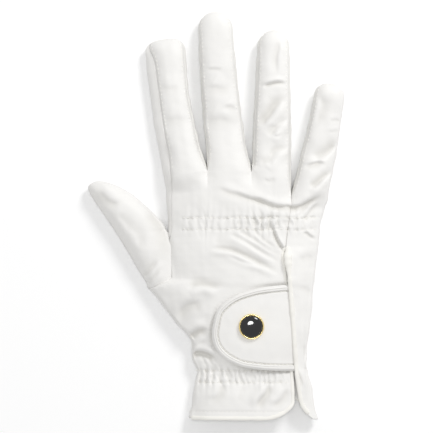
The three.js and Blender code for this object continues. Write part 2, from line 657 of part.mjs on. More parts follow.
// Side panel: the little finger's back and the strip beside the vent, wrapped round the little side to the palm seam
const sidePanel = new Sheet();
const littleStarts = starts(4, 1);
const sideFinger = backRows[3].map((row, j) => {
  const wall = fingerWall(plans[3], plans[3].stations[j], 1, littleStarts, plans[3].seams[1], 0, seamDrop);
  return [...row, ...wall.slice(1)];
});
const sideHand = sideTop.map((row, j) => {
  if (j === 0) return sideFinger[0];
  const edge = row.at(-1);
  const low = new THREE.Vector3(edge.x, edge.y, palmSeamHeight + seamDrop);
  return [...row, ...wallPoints(edge, new THREE.Vector2(rightX(stations[j]), edge.y), low).slice(1)];
});
const sideDrop = (j, i, place) => (i >= fingerColumns ? 0 : dropAt(sideColumn)(j, i, place));
sidePanel.grid(sideHand, true, sideDrop);
sidePanel.grid(sideFinger, false);
sidePanel.plumb([...sideHand.slice(bound).map((row) => row[0]), ...sideHand[last].slice(0, fingerColumns)]);
addPiece("side_panel", sidePanel.geometry(leatherThickness), leatherWhite);

// Palm panel: flat where it lies, with the wall that comes up to the back seam on the index side
const palmPanel = new Sheet();
const indexStarts = starts(0, -1);
const indexWall = plans[0].stations.map((station) =>
  fingerWall(plans[0], station, -1, indexStarts, plans[0].seams[-1], seamDrop, 0));
const palmFirst = palmRows.flatMap((rows, n) => (n ? rows[0].slice(1) : rows[0]));
const palmDown = stations.filter((down) => !backOnly.includes(down));
const palmHand = palmDown.map((down, j) => {
  if (j === 0) return palmFirst;
  const keep = 1 - smoothstep(down * handLength, 0, crotchBlend);
  const open = 1 - mouthAt(down);
  const end = lastOf(palmFirst);
  const left = leftX(down) + palmInset;
  const row = handRow(palmFirst, down, left, seamRightX(down), hemRoom, (x, y, place, i) => {
    const rise = i < 2 ? open * palmRise(palmStations[i]) : i > end - 2 ? palmRise(palmStations[end - i]) : 0;
    return Math.max(palmSeamHeight * rise, i > 1 && i < end - 1 ? place.z * keep : 0);
  });
  for (const place of row) {
    const off = ((place.x - centreX(down)) / localWidth(down) - notchAt) / notchWidth;
    place.y += smoothstep(down, 0.85, 1) * notchDepth * handLength * Math.exp(-off * off);
  }
  return row;
});
const palmWall = palmDown.map((down, j) => {
  if (j === 0) return indexWall[0];
  const low = palmHand[j][0];
  const mouth = mouthAt(down);
  const high = new THREE.Vector3(
    lerp(seamLeftX(down), leftX(down) + half, mouth),
    low.y,
    lerp(handHeights(down).left - seamDrop, 0, mouth),
  );
  const flat = high.clone().add(low).multiplyScalar(0.5);
  const outline = new THREE.Vector2(lerp(leftX(down), flat.x, mouth), flat.y);
  return wallPoints(high, outline, low);
});
const joined = (walls, rows) => rows.map((row, j) => [...walls[j], ...row.slice(1)]);
palmPanel.grid(joined(palmWall, palmHand), false);
palmPanel.grid(joined(indexWall, palmRows[0]), true);
palmRows.slice(1).forEach((rows) => palmPanel.grid(rows, true));
palmPanel.plumb(palmHand.at(-1).slice(2, -2), -1);
addPiece("palm_panel", palmPanel.geometry(leatherThickness), leatherWhite);

// Fourchettes: forked strips down one finger's side, round the crotch and up the next finger's side
for (let k = 1; k <= 3; k++) {
  const wallOn = (n, side) =>
    plans[n].stations.map((station) =>
      fingerWall(plans[n], station, side, { ...starts(k, side), back: crotch(k) },
        plans[n].seams[side], seamDrop, seamDrop, forkColumns));
  const strip = new Sheet();
  strip.grid([...wallOn(k - 1, 1).reverse(), ...wallOn(k, -1).slice(1)], true);
  const name = "fourchette_" + fingers[k - 1].name + "_" + fingers[k].name;
  addPiece(name, strip.geometry(leatherThickness), fourchetteWhite);
}

// Thumb: an upper and a lower sheet, sewn along the outline and open into the hand
function thumbEdge(x, y, sewnOn) {
  const up = -crotchDown * handLength + y * (y < 0 ? thumbRoot : thumbRise);
  const hand = sewnOn ? leftX(downOf(up)) : leftX(crotchDown);
  return new THREE.Vector2(hand - seamGap - x * thumbReach, up);
}
function thumbSheet(upper) {
  const sheet = new Sheet();
  const rows = thumbRows.map((row) => {
    const left = thumbEdge(row.leftX, row.leftY, false);
    const right = thumbEdge(row.rightX, row.rightY, row.mouth === 1);
    const run = right.clone().sub(left);
    const ahead = new THREE.Vector2(-run.y, run.x).normalize();
    const seam = tipSeamHeight + (upper ? 0.5 : -0.5) * thumbDrop;
    const top = thumbThickness * row.height;
    return (upper ? backStations : palmStations).map((v) => {
      const place = rowPoint(left, right, v, ahead, row.tip ** 2 * thumbArch * run.length() * (1 - v * v));
      const edge = v > 0 ? lerp(seam, upper ? backSeamHeight : 0, row.mouth * v) : seam;
      if (!upper) return new THREE.Vector3(place.x, place.y, edge * (1 - (1 - palmRise(v)) * tipRound(row.tip, 4)));
      const level = (1 - Math.abs(v) ** backDome) * tipRound(row.tip, 2.2);
      return new THREE.Vector3(place.x, place.y, edge + Math.max(0, top - edge) * level);
    });
  });
  sheet.grid(rows, !upper);
  return sheet.geometry(leatherThickness);
}
addPiece("thumb_upper", thumbSheet(true), leatherWhite);
addPiece("thumb_lower", thumbSheet(false), leatherWhite);

// Bindings on the raw edges: down the vent and round the cuff, down the side strip, and along the palm's hem
const ventEdge = [];
for (let j = bound; j <= last; j++) ventEdge.push(raw(backHand, j, lastOf(backHand[j]), 0));
for (let i = lastOf(backHand[last]) - 2; i >= 0; i -= 2) ventEdge.push(raw(backHand, last, i, 0));
addPiece("vent_and_cuff_binding", edgeBand(ventEdge, -1, bindingWidth, () => bindingHeight), bindingCream);
const sideEdge = [];
for (let j = bound; j <= last; j++) sideEdge.push(raw(sideTop, j, 0, sideColumn));
addPiece("side_binding", edgeBand(sideEdge, 1, bindingWidth, () => bindingHeight), bindingCream);
const palmEdge = palmHand.at(-1).slice(2, -2);
palmEdge.forEach((place) => (place.z += leatherThickness / 2));
addPiece("palm_binding", edgeBand(palmEdge, 1, bindingWidth, () => bindingHeight), bindingCream);

// Closure tab: it comes out from under the side panel's edge, crosses the vent and lies on the back
const tabHeight = (tabBottom - tabTop) * handLength;
const tabMiddle = (-(tabTop + tabBottom) / 2) * handLength;
function tabPlace(along, across) {
  const y = tabMiddle + across * tabHeight;
  return new THREE.Vector2(ventX(downOf(y), "side") + tabOverlap - along * tabLength, y);
}
const settled = (along) => smoothstep(along, tabBend, tabSettled);
const restLift = patchThickness + 2 * seamGap;
const rootLift = bindingHeight / 2 + seamGap / 2;
const tabLift = (along) => lerp(rootLift, restLift, settled(along));
const tabWall = (along) => lerp(tabRootThickness, tabThickness, settled(along));
function tabSheet(rows, columns, liftOf, wallOf) {
  const sheet = new Sheet();
  const walls = [];
  const grid = rows.map((row) => {
    const points = [];
    for (let i = 0; i <= columns; i++) {
      const plan = tabPlace(row.along, lerp(row.bottom, row.top, i / columns));
      const height = handTop(plan.x, plan.y) + liftOf(row.along) + wallOf(row.along);
      const place = new THREE.Vector3(plan.x, plan.y, height);
      walls[sheet.point(place)] = wallOf(row.along);
      points.push(place);
    }
    return points;
  });
  sheet.grid(grid, false);
  sheet.plumb(grid.flat());
  return sheet.geometry(walls);
}
const buttonPlan = tabPlace(buttonAlong, buttonAcross);
const hole = (radius) =>
  toSolid(
    new THREE.CylinderGeometry(radius, radius, 4 * handThickness, 20)
      .rotateX(Math.PI / 2)
      .translate(buttonPlan.x, buttonPlan.y, 0),
  );
const tabSolid = toSolid(tabSheet(tabRows, 6, tabLift, tabWall)).subtract(hole(postRadius + seamGap));
addPiece("closure_tab", toGeometry(tabSolid), leatherWhite);

// The band round the tab's edge, from its upper root round the nose to its lower root
const free = tabRows.filter((row) => row.along > tabBend);
const around = [...free.map((row) => [row.along, row.top]), ...free.map((row) => [row.along, row.bottom]).reverse()];
const tabEdge = around.map(([along, across]) => {
  const plan = tabPlace(along, across);
  return new THREE.Vector3(plan.x, plan.y, handTop(plan.x, plan.y) + tabLift(along) + tabWall(along) / 2);
});
addPiece("tab_binding", edgeBand(tabEdge, 1, bindingWidth, (k) => tabWall(around[k][0])), bindingCream);

// The hook and loop patch under the tab, plain because it is hidden
const patchRows = [tabSettled + 0.03, 0.48, 0.6, 0.72, 0.85].map((along) => ({
  along,
  top: lookUp(tabRows, "along", along, "top") - patchMargin,
  bottom: lookUp(tabRows, "along", along, "bottom") + patchMargin,
}));
const patchSolid = toSolid(tabSheet(patchRows, 4, () => seamGap, () => patchThickness))
  .subtract(hole(2 * postRadius + seamGap));
addPiece("hook_patch", toGeometry(patchSolid), hookWhite);

// The dome button: a gold cup, a black dome in it and the post that holds them through the tab
const button = new THREE.Group();
const slope = (dx, dy) =>
  (handTop(buttonPlan.x + dx, buttonPlan.y + dy) - handTop(buttonPlan.x - dx, buttonPlan.y - dy)) / (2 * domeRadius);
const facing = new THREE.Vector3(-slope(domeRadius, 0), -slope(0, domeRadius), 1).normalize();
button.position.set(buttonPlan.x, buttonPlan.y, handTop(buttonPlan.x, buttonPlan.y) + restLift + tabThickness);
button.quaternion.setFromUnitVectors(new THREE.Vector3(0, 0, 1), facing);
glove.add(button);
const turned = (profile, segments) =>
  new THREE.LatheGeometry(profile.map(([r, z]) => new THREE.Vector2(r, z)), segments).rotateX(Math.PI / 2);
const postHole = postRadius + seamGap;
const cupBase = 1.5 * seamGap;
const cupFloor = cupBase + 0.6;
const cupInner = domeRadius + seamGap;
const cupOuter = cupInner + rimWidth;
const cupTop = cupBase + rimHeight;
addPiece("button_rim", turned([
  [postHole, cupBase],
  [cupOuter - 0.3, cupBase],
  [cupOuter, cupBase + 0.4],
  [cupOuter, cupTop - 0.3],
  [cupOuter - rimWidth / 2, cupTop],
  [cupInner, cupTop - 0.3],
  [cupInner, cupFloor],
  [postHole, cupFloor],
  [postHole, cupBase],
], 26), rimGold, button);
const domeBase = cupFloor + seamGap;
const domeProfile = [[0, domeBase], [domeRadius, domeBase]];
for (const angle of [0, 18, 36, 54, 72]) {
  const turn = degToRad(angle);
  domeProfile.push([domeRadius * Math.cos(turn), domeBase + 0.5 + (domeHeight - 0.5) * Math.sin(turn)]);
}
domeProfile.push([0, domeBase + domeHeight]);
addPiece("button_dome", turned(domeProfile, 26), domeBlack, button);
const postHead = 2 * postRadius;
const postBottom = -tabThickness - seamGap;
addPiece("button_post", turned([
  [0, postBottom - 0.5],
  [postHead, postBottom - 0.5],
  [postHead, postBottom],
  [postRadius, postBottom],
  [postRadius, domeBase - seamGap],
  [0, domeBase - seamGap],
], 14), postSteel, button);

// The origin stands at the middle of the glove's box, on the table
const box = new THREE.Box3().setFromObject(glove);
glove.position.set(-(box.min.x + box.max.x) / 2, -(box.min.y + box.max.y) / 2, -box.min.z);

export default glove;
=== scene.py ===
"""White leather riding glove for the right hand, palm down, dressed over its CAD frame.

Every shape is worked out in millimetres in the glove's own plan: x runs to the little finger's side and y
to the fingertips, both from the middle of the knuckle line, and z up from the table. lay() moves it into the
frame.
"""

import bpy
import numpy as np
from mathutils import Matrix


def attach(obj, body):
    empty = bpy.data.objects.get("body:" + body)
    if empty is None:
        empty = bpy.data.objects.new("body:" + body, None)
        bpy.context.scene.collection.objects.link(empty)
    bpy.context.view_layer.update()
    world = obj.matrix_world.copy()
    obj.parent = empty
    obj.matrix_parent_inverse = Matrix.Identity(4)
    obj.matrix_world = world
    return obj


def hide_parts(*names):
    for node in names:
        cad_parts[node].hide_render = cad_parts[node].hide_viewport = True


bl_info = {
    "name": "Riding glove",
    "version": (1, 0, 0),
    "blender": (4, 5, 0),
    "location": "3D View > Sidebar > Glove",
    "description": "Builds a leather riding glove with gathers, a closure tab and a dome snap",
    "category": "Object",
}

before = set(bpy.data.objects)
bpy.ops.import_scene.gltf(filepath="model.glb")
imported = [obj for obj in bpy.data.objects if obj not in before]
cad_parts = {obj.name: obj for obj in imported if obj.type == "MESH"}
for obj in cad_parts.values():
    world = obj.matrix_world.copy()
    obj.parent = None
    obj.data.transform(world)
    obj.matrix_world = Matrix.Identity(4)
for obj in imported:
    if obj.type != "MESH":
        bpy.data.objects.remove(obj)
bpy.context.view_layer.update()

# Metres in a millimetre, and millimetres in a metre
MM, METRE = 0.001, 1000

# The plan of the glove, as in its CAD source
HAND_LENGTH = 146.4
WRIST_DOWN = 0.805
WRIST_WIDTH = 66.0
CUFF_WIDTH = 76.5
HAND_TOP = 16.5
WRIST_TOP = 13.5
CUFF_TOP = 14.5
FINGER_TOP = 12.6
THUMB_TOP = 12.8
BACK_SEAM = 9.2
WRIST_SEAM = 7.0
PALM_SEAM = 1.7
TIP_SEAM = 4.9
ROOT_LIFT = 2.2
ROOT_SHARE = 0.955
PALM_INSET = 1.2
THUMB_REACH = 48.3
THUMB_RISE = 32.4
THUMB_ROOT = 30.3
CROTCH_DOWN = 0.245
HEM_INSET = 1.3
HEM_STITCHES = 5.2 - HAND_LENGTH

# Rolled seams: width of the roll in mm, share of its depth that it goes down, and how dark the painted shade
# along it is
ROLL_WIDTH = 0.8
ROLL_DROP = 0.55
SEAM_SHADE = 0.2

# Powers of the curves: across the hand, fingers and thumb, towards a fingertip, and of a band's section
DOME_POWER = 2.8
TIP_POWER = 2.2
BAND_POWER = 2.6

# Relief: where it fades in from a sewn edge in mm, the depth and half width in mm of the grooves at the
# side seam, at the hem's stitching and round the tab, and height, length and seed of the soft swells
FADE_IN = (0.2, 2.4)
SEAM_GROOVE = (0.15, 0.7)
HEM_GROOVE = (0.3, 0.45)
TAB_GROOVE = (1.15, 1.3)
SWELLS = ((0.34, 30, 1), (0.13, 12, 2), (0.045, 5, 5))

# Where the vent opens, as shares of the hand's length, the room for its bindings and the lap above it in mm
VENT_OPENS = (0.285, 0.31)
BACK_ROOM = 1.4
SIDE_ROOM = 1.3
SEAM_LAP = 0.8

# Bindings, in mm: how far their middle lies under the leather's upper side, and their path's sampling
BINDING_SINK = 0.35
BINDING_PITCH = 0.6

# Grids: points across a finger or thumb, from its left edge to its right, closer at both, points down a
# side wall, rows of the hand, and row pitches of the fingers in mm
SOFT_V = 0.6 * np.linspace(-1, 1, 35) + 0.4 * np.sin(np.linspace(-np.pi / 2, np.pi / 2, 35))
WALL_T = np.linspace(0, 1, 15)
DOWN = np.linspace(0, 1, 216)
PITCH = 0.68
PALM_PITCH = 1.2
FORK_PITCH = 1.0

# How far from a sheet its inner point lies, in mm
FAR = 500

# Fingers: width and length, splay in degrees, bow, round end's share and power, and the seams' insets in mm
FINGERS = {
    "index": (26.0, 82.0, -8.2, -0.1, 0.117, 2.8, 4.94, 0.9),
    "middle": (26.4, 96.6, -4.9, -0.06, 0.118, 2.1, 0.6, 0.5),
    "ring": (24.0, 92.7, 0.9, 0.0, 0.13, 2.0, 0.9, 0.7),
    "little": (22.6, 67.2, 10.7, 0.04, 0.125, 2.1, 0.6, 1.0),
}
TAPER_AT = (0, 0.15, 0.35, 0.6, 0.85)
TAPER = {
    "index": (1, 0.95, 0.92, 0.88, 0.92),
    "middle": (1, 0.91, 0.87, 0.83, 0.79),
    "ring": (1, 0.97, 0.95, 0.88, 0.82),
    "little": (1, 0.95, 0.92, 0.85, 0.82),
}
CROTCH_RISE = (0, 0.02, 0.016, -0.082, -0.057)

# The hand from the knuckle line to the hem: down, left edge, right edge, left seam's inset, height, seam
# height and thumb opening, as shares of the hand's length, of the local width and of the local heights
HAND = np.array([
    (0, -0.5, 0.5, 0.04, 0.955, 1, 0),
    (0.02, -0.5, 0.5, 0.036, 0.955, 1, 0),
    (0.05, -0.5, 0.5, 0.031, 0.962, 1, 0),
    (0.1, -0.51, 0.49, 0.023, 0.98, 1, 0),
    (0.165, -0.52, 0.485, 0.016, 0.98, 1, 0),
    (0.217, -0.53, 0.48, 0.014, 0.98, 1, 0),
    (0.245, -0.54, 0.48, 0.01, 0.98, 1, 0),
    (0.275, -0.545, 0.48, 0.0025, 1, 1, 1),
    (0.33, -0.56, 0.48, 0.0025, 1, 1, 1),
    (0.38, -0.57, 0.475, 0.0025, 1, 1, 1),
    (0.42, -0.58, 0.475, 0.0025, 0.99, 1, 1),
    (0.439, -0.655, 0.475, 0.0025, 0.99, 1.1, 1),
    (0.459, -0.757, 0.475, 0.0075, 0.98, 0.75, 0),
    (0.492, -0.726, 0.475, 0.0125, 0.98, 0.8, 0),
    (0.54, -0.682, 0.48, 0.014, 0.98, 0.9, 0),
    (0.615, -0.601, 0.48, 0.014, 0.99, 0.98, 0),
    (0.69, -0.515, 0.475, 0.014, 1, 1, 0),
    (0.755, -0.53, 0.477, 0.005, 0.98, 1, 0),
    (0.785, -0.512, 0.486, 0.005, 0.96, 1, 0),
    (0.805, -0.5, 0.505, 0.005, 0.95, 1, 0),
    (0.85, -0.5, 0.51, 0.005, 0.96, 1, 0),
    (0.9, -0.5, 0.51, 0.005, 1, 1, 0),
    (0.945, -0.495, 0.505, 0.005, 1, 1, 0),
    (1, -0.5, 0.512, 0.005, 1, 1, 0),
])

# The wrist vent: down, the back panel's edge, the side panel's edge, and how far that edge stands up in mm
VENT = np.array([
    (0.05, 0.272, 0.272, 0),
    (0.165, 0.27, 0.27, 0),
    (0.23, 0.262, 0.262, 0.4),
    (0.285, 0.257, 0.257, 0.8),
    (0.31, 0.254, 0.255, 1.6),
    (0.335, 0.252, 0.254, 2.4),
    (0.37, 0.264, 0.262, 2.8),
    (0.42, 0.277, 0.274, 3.2),
    (0.69, 0.346, 0.343, 3.2),
    (0.805, 0.374, 0.375, 3.2),
    (0.835, 0.369, 0.377, 2.4),
    (0.877, 0.36, 0.378, 1.2),
    (0.91, 0.354, 0.379, 0.7),
    (0.9365, 0.346, 0.382, 0.5),
    (0.951, 0.326, 0.387, 0.35),
    (0.968, 0.288, 0.398, 0.2),
    (0.983, 0.24, 0.412, 0.1),
    (0.994, 0.183, 0.424, 0),
    (1, 0.115, 0.43, 0),
])

# The thumb from its root to its tip: left edge, right edge, height, opening into the hand, and round end
THUMB = np.array([
    (0.25, -0.985, 0, -0.815, 0.82, 1, 0),
    (0.375, -0.683, 0, -0.535, 0.93, 1, 0),
    (0.48, -0.386, 0, -0.21, 1, 1, 0),
    (0.582, -0.119, 0.02, 0.12, 1, 0, 0),
    (0.688, 0.139, 0.15, 0.38, 0.98, 0, 0),
    (0.795, 0.37, 0.308, 0.61, 0.96, 0, 0),
    (0.9, 0.602, 0.478, 0.81, 0.95, 0, 0.3),
    (0.975, 0.778, 0.65, 0.945, 0.93, 0, 0.62),
    (0.992, 0.849, 0.745, 0.99, 0.92, 0, 0.86),
    (1.0, 0.915, 0.84, 1.02, 0.9, 0, 1),
])

# The closure tab from its root to its nose: along, top edge and bottom edge
TAB = np.array([
    (0, 0.5, -0.5),
    (0.09, 0.5, -0.5),
    (0.2, 0.492, -0.5),
    (0.3, 0.482, -0.497),
    (0.43, 0.464, -0.491),
    (0.55, 0.434, -0.478),
    (0.67, 0.396, -0.46),
    (0.83, 0.308, -0.396),
    (0.946, 0.189, -0.302),
    (1, 0.03, -0.207),
])
TAB_TOP = 0.4475
TAB_BOTTOM = 0.794
TAB_LENGTH = 51.4
TAB_OVERLAP = 5.0
TAB_THICKNESS = 1.6
TAB_ROOT_THICKNESS = 1.0
TAB_LIFT = 0.85
TAB_RISE = 0.45
BORDER_GROOVE = 0.35
BUTTON_ALONG = 0.56
BUTTON_ACROSS = 0.018
SNAP_RADIUS = 6.6
SNAP_LIFT = 1.4

# Creases of the leather, each a curve from its start past its middle to its end: x and y of the three, then
# the half width, the depth, the height of the lip beside it, and the side of the lip (1 is left of the
# curve's way)
CREASES = [
    # across the knuckles
    (-18.3, -5.4, -3.9, -12.6, 12.9, -14.1, 1.7, 1.0, 0.4, 1),
    (2.1, -12.0, 15.3, -17.7, 27.3, -18.0, 1.5, 2.0, 0.7, 1),
    (22.5, -18.3, 32.1, -18.0, 46.5, -10.5, 1.6, 2.2, 0.8, 1),
    (-10.5, -8.4, 0.3, -12.6, 11.7, -16.2, 1.0, 0.5, 0.2, 1),
    (9.9, -1.5, 13.5, -3.0, 17.7, -1.2, 1.2, 0.5, 0.1, 1),
    # little side, by the gathers
    (34.5, -29.4, 37.5, -21.6, 44.1, -16.2, 1.2, 0.9, 0.5, 1),
    (31.5, -25.8, 33.3, -21.0, 37.5, -18.0, 1.2, 0.6, 0.3, 1),
    (33.3, -33.6, 36.9, -35.1, 41.7, -38.7, 0.9, 1.1, 0.4, 1),
    (15.0, -28.0, 17.6, -36.6, 24.6, -48.2, 0.9, 2.4, 0.9, 1),
    # fan towards the top of the vent
    (-23.7, -43.8, -4.3, -46.6, 22.1, -60.7, 1.5, 1.5, 0.8, -1),
    (-14.7, -45.6, -1.5, -51.6, 12.9, -55.5, 1.2, 0.5, 0.2, -1),
    (-11.3, -34.0, 2.1, -41.4, 20.9, -52.7, 1.3, 0.9, 0.6, -1),
    (-6.1, -31.3, 4.5, -38.6, 20.5, -47.9, 1.1, 0.9, 0.5, -1),
    (4.1, -31.7, 10.0, -38.4, 18.5, -44.8, 1.0, 0.8, 0.5, -1),
    (-36.5, -67.3, -25.5, -65.2, -10.1, -68.2, 2.3, 1.5, 0.9, -1),
    (-20.7, -37.2, -14.7, -40.2, -6.3, -42.0, 2.2, 0.35, 0.2, -1),
    # left of the tab and at the wrist
    (-43.3, -86.2, -35.1, -78.4, -25.1, -75.2, 3.2, 1.2, 1.0, 1),
    (-38.5, -98.8, -30.9, -94.4, -22.1, -91.2, 2.2, 1.9, 1.2, 1),
    (-33.9, -102.6, -29.1, -101.4, -23.1, -98.4, 1.6, 0.6, 0.4, 1),
    (-36.5, -112.5, -27.9, -106.0, -14.9, -111.6, 1.7, 2.8, 1.2, 1),
    (-26.1, -107.4, -25.5, -110.4, -24.3, -114.0, 0.8, 0.6, 0.3, 1),
    (-22.5, -107.7, -21.3, -111.0, -19.5, -114.0, 0.8, 0.6, 0.3, 1),
    (-18.9, -109.2, -17.1, -112.2, -14.7, -115.2, 0.8, 0.5, 0.3, 1),
    # cuff
    (14.1, -124.6, 10.5, -132.0, 4.9, -140.6, 2.3, 1.6, 1.1, -1),
    (25.3, -127.0, 20.9, -133.6, 14.7, -140.0, 2.2, 1.0, 0.8, -1),
    (-12.9, -124.2, -16.5, -130.2, -22.3, -137.4, 2.5, 0.9, 0.7, -1),
    (-2.1, -125.4, -3.9, -130.8, -6.3, -136.8, 2.0, 0.35, 0.3, -1),
    # strip down the little side
    (29.7, -115.2, 32.1, -121.2, 33.3, -128.4, 1.0, 0.7, 0.4, 1),
    (33.3, -100.8, 35.1, -104.4, 36.3, -111.0, 1.4, 0.5, 0.3, 1),
    (32.1, -64.8, 35.7, -68.4, 39.3, -68.4, 2.2, 0.5, 0.3, 1),
    (30.3, -49.8, 35.1, -48.6, 40.5, -50.4, 2.0, 0.5, 0.4, 1),
    # ring finger
    (10.2, 52.2, 15.5, 55.6, 25.2, 54.6, 1.1, 1.5, 0.8, 1),
    (20.7, 79.6, 18.0, 73.4, 18.3, 57.8, 1.6, 0.8, 0.6, 1),
    (10.0, 28.6, 13.6, 37.8, 24.8, 47.8, 2.9, 1.9, 1.1, -1),
    (11.9, 23.8, 17.7, 28.8, 25.4, 36.6, 2.4, 1.2, 0.9, -1),
    (15.9, 24.3, 18.3, 23.7, 21.3, 25.2, 0.8, 0.5, 0.2, 1),
    (12.7, 13.4, 18.3, 14.9, 25.1, 18.5, 2.2, 1.0, 0.7, -1),
    (8.9, 5.8, 12.9, 9.2, 19.3, 10.8, 2.1, 0.9, 0.6, -1),
    # little finger
    (45.1, 48.8, 44.9, 39.6, 42.4, 28.2, 3.0, 0.8, 0.6, -1),
    (49.5, 33.0, 53.1, 33.3, 57.3, 32.4, 1.1, 0.5, 0.2, 1),
    (48.5, 25.8, 52.5, 26.7, 56.0, 26.4, 1.1, 0.35, 0.15, 1),
    (39.8, 7.6, 46.9, 13.4, 55.3, 21.8, 2.8, 1.5, 1.0, -1),
    (34.9, 3.6, 39.9, 7.0, 48.9, 5.5, 1.6, 1.2, 0.7, 1),
    (38.7, 6.6, 42.9, 8.1, 47.1, 7.5, 0.8, 0.5, 0.3, 1),
    (36.7, -6.2, 43.5, -3.4, 52.3, 5.2, 2.0, 1.7, 1.0, -1),
    # middle finger
    (-24.4, 64.5, -19.5, 63.6, -14.3, 64.8, 1.1, 0.5, 0.25, 1),
    (-24.2, 54.2, -17.2, 51.7, -9.0, 54.0, 2.8, 0.7, 0.6, 1),
    (-12.8, 42.9, -9.9, 40.8, -5.2, 40.5, 1.9, 0.6, 0.3, 1),
    (-25.2, 36.0, -17.3, 32.6, -6.7, 35.4, 3.0, 0.6, 0.55, 1),
    # index finger
    (-61.8, 71.4, -59.1, 69.6, -55.5, 64.8, 0.9, 1.1, 0.5, 1),
    (-60.9, 67.2, -59.1, 66.0, -57.3, 63.0, 0.8, 0.6, 0.3, 1),
    (-53.1, 54.0, -46.5, 52.2, -38.1, 53.4, 2.6, 0.4, 0.3, 1),
    (-50.1, 34.8, -42.9, 33.0, -33.9, 34.8, 2.8, 0.45, 0.3, 1),
    # thumb
    (-57.7, -17.4, -51.3, -31.2, -47.1, -53.6, 4.2, 1.1, 0.0, 1),
    (-90.9, -9.2, -83.1, -14.4, -76.5, -19.8, 2.6, 0.9, 0.5, 1),
    (-75.9, -20.4, -72.9, -27.6, -67.5, -33.6, 2.6, 0.5, 0.3, -1),
    (-69.3, -28.8, -65.1, -36.0, -62.5, -44.4, 2.6, 0.5, 0.3, -1),
    (-63.3, -60.0, -57.9, -57.0, -53.1, -49.2, 1.6, 0.8, 0.5, -1),
    (-61.5, -64.2, -56.7, -62.4, -51.9, -55.2, 1.2, 0.7, 0.4, -1),
    (-57.9, -67.2, -53.1, -64.8, -47.1, -64.2, 1.2, 0.8, 0.4, -1),
]

# Camera: its sensor's width in mm, and in metres its distance from the glove and the width that it sees
# there
SENSOR = 36
DISTANCE = 1.993
SEEN_WIDTH = 0.2598

# Elastic gathers: upper row, lower row, spacing of the puckers, reach above and below, seed, and how strong
# the puckers are at some places along x
GATHERS = [
    (-25.1, -32.0, 4.6, 5.0, 4.0, 3,
     (-39, -28, -14, 0, 12, 24, 36, 43.5), (0.45, 0.5, 0.6, 0.85, 1.25, 1.15, 0.8, 0.5)),
    (-116.7, -123.6, 4.0, 2.4, 3.0, 8,
     (-31, -24, -12, 0, 12, 25), (1.0, 1.2, 1.1, 0.9, 0.9, 0.8)),
]


def step(x, a, b):
    """Rises smoothly from 0 at a to 1 at b: 3t^2 - 2t^3."""
    t = np.clip((np.asarray(x, float) - a) / (b - a), 0, 1)
    return t * t * (3 - 2 * t)


def bell(x, width):
    """A bell curve, 1 at x = 0 and 1/e one width away."""
    return np.exp(-((x / width) ** 2))


def through(knots, values, at):
    """Smooth curve through the knots that never overshoots: cubics whose slopes are the harmonic means of
    the two neighbouring chords' slopes."""
    k, v = np.asarray(knots, float), np.asarray(values, float)
    h, d = np.diff(k), np.diff(v) / np.diff(k)
    slope = np.zeros_like(v)
    slope[0], slope[-1] = d[0], d[-1]
    same = d[:-1] * d[1:] > 0
    before, after = 2 * h[1:] + h[:-1], h[1:] + 2 * h[:-1]
    with np.errstate(divide="ignore", invalid="ignore"):
        mean = (before + after) / (before / d[:-1] + after / d[1:])
    slope[1:-1] = np.where(same, mean, 0)
    at = np.clip(np.asarray(at, float), k[0], k[-1])
    i = np.clip(np.searchsorted(k, at, side="right") - 1, 0, len(h) - 1)
    t = (at - k[i]) / h[i]
    return (
        v[i] * (1 + 2 * t) * (1 - t) ** 2
        + slope[i] * h[i] * t * (1 - t) ** 2
        + v[i + 1] * t * t * (3 - 2 * t)
        - slope[i + 1] * h[i] * t * t * (1 - t)
    )


def sizes_now():
    """The glove's sizes, as its panel holds them."""
    return bpy.context.scene.glove_sizes


def colours_now():
    """The glove's colours, as its panel holds them."""
    return bpy.context.scene.glove_colours


def run_length(path):
    """Distance along a path at each of its points."""
    return np.concatenate([[0], np.cumsum(np.linalg.norm(np.diff(path, axis=0), axis=1))])


def roll_depth():
    """Depth of the seams' roll in millimetres."""
    return sizes_now().seam_depth * METRE


def palm_rise(v):
    """Share of the palm seam's height: 0 inside, and ((|v| - 0.7) / 0.3)^1.6 in the outer parts."""
    return np.maximum(0, (np.abs(v) - 0.7) / 0.3) ** 1.6


def waves(x, y, length, seed, count=9):
    """Soft uneven swell, about -1 to 1: a sum of plane sine waves of about that length, seeded."""
    rng = np.random.default_rng(seed)
    total = np.zeros(np.broadcast(x, y).shape)
    for turn, size, phase in zip(
        rng.uniform(0, np.pi, count), rng.uniform(0.7, 1.5, count) * length, rng.uniform(0, 2 * np.pi, count)
    ):
        total += np.sin(2 * np.pi * (x * np.cos(turn) + y * np.sin(turn)) / size + phase)
    return total / np.sqrt(count)


# The hand's plan and heights
KNUCKLES = sum(finger[0] for finger in FINGERS.values())
SPREAD = np.cumsum([0] + [finger[0] for finger in FINGERS.values()])
DRIFT = 0.037 * KNUCKLES


def down_of(y):
    """Share of the hand's length at a height in plan, 0 at the knuckle line and 1 at the hem."""
    return np.clip(-y / HAND_LENGTH, 0, 1)


def hand_column(down, column):
    """One column of the hand's table at a share of its length."""
    return through(HAND[:, 0], HAND[:, column], down)


def local_width(down):
    """Width that the hand's shares refer to: it narrows evenly to the wrist, and then widens evenly."""
    below = (down - WRIST_DOWN) / (1 - WRIST_DOWN)
    return np.where(
        down < WRIST_DOWN,
        KNUCKLES + (WRIST_WIDTH - KNUCKLES) * down / WRIST_DOWN,
        WRIST_WIDTH + (CUFF_WIDTH - WRIST_WIDTH) * below,
    )


def centre_x(down):
    """Middle of that width: it drifts evenly to the little side until the wrist."""
    return DRIFT * np.minimum(1, down / WRIST_DOWN)


def left_x(down):
    """Outline on the index side."""
    return centre_x(down) + hand_column(down, 1) * local_width(down)


def right_x(down):
    """Outline on the little side."""
    return centre_x(down) + hand_column(down, 2) * local_width(down)


def seam_left_x(down):
    """Back seam on the index side."""
    return left_x(down) + hand_column(down, 3) * local_width(down)


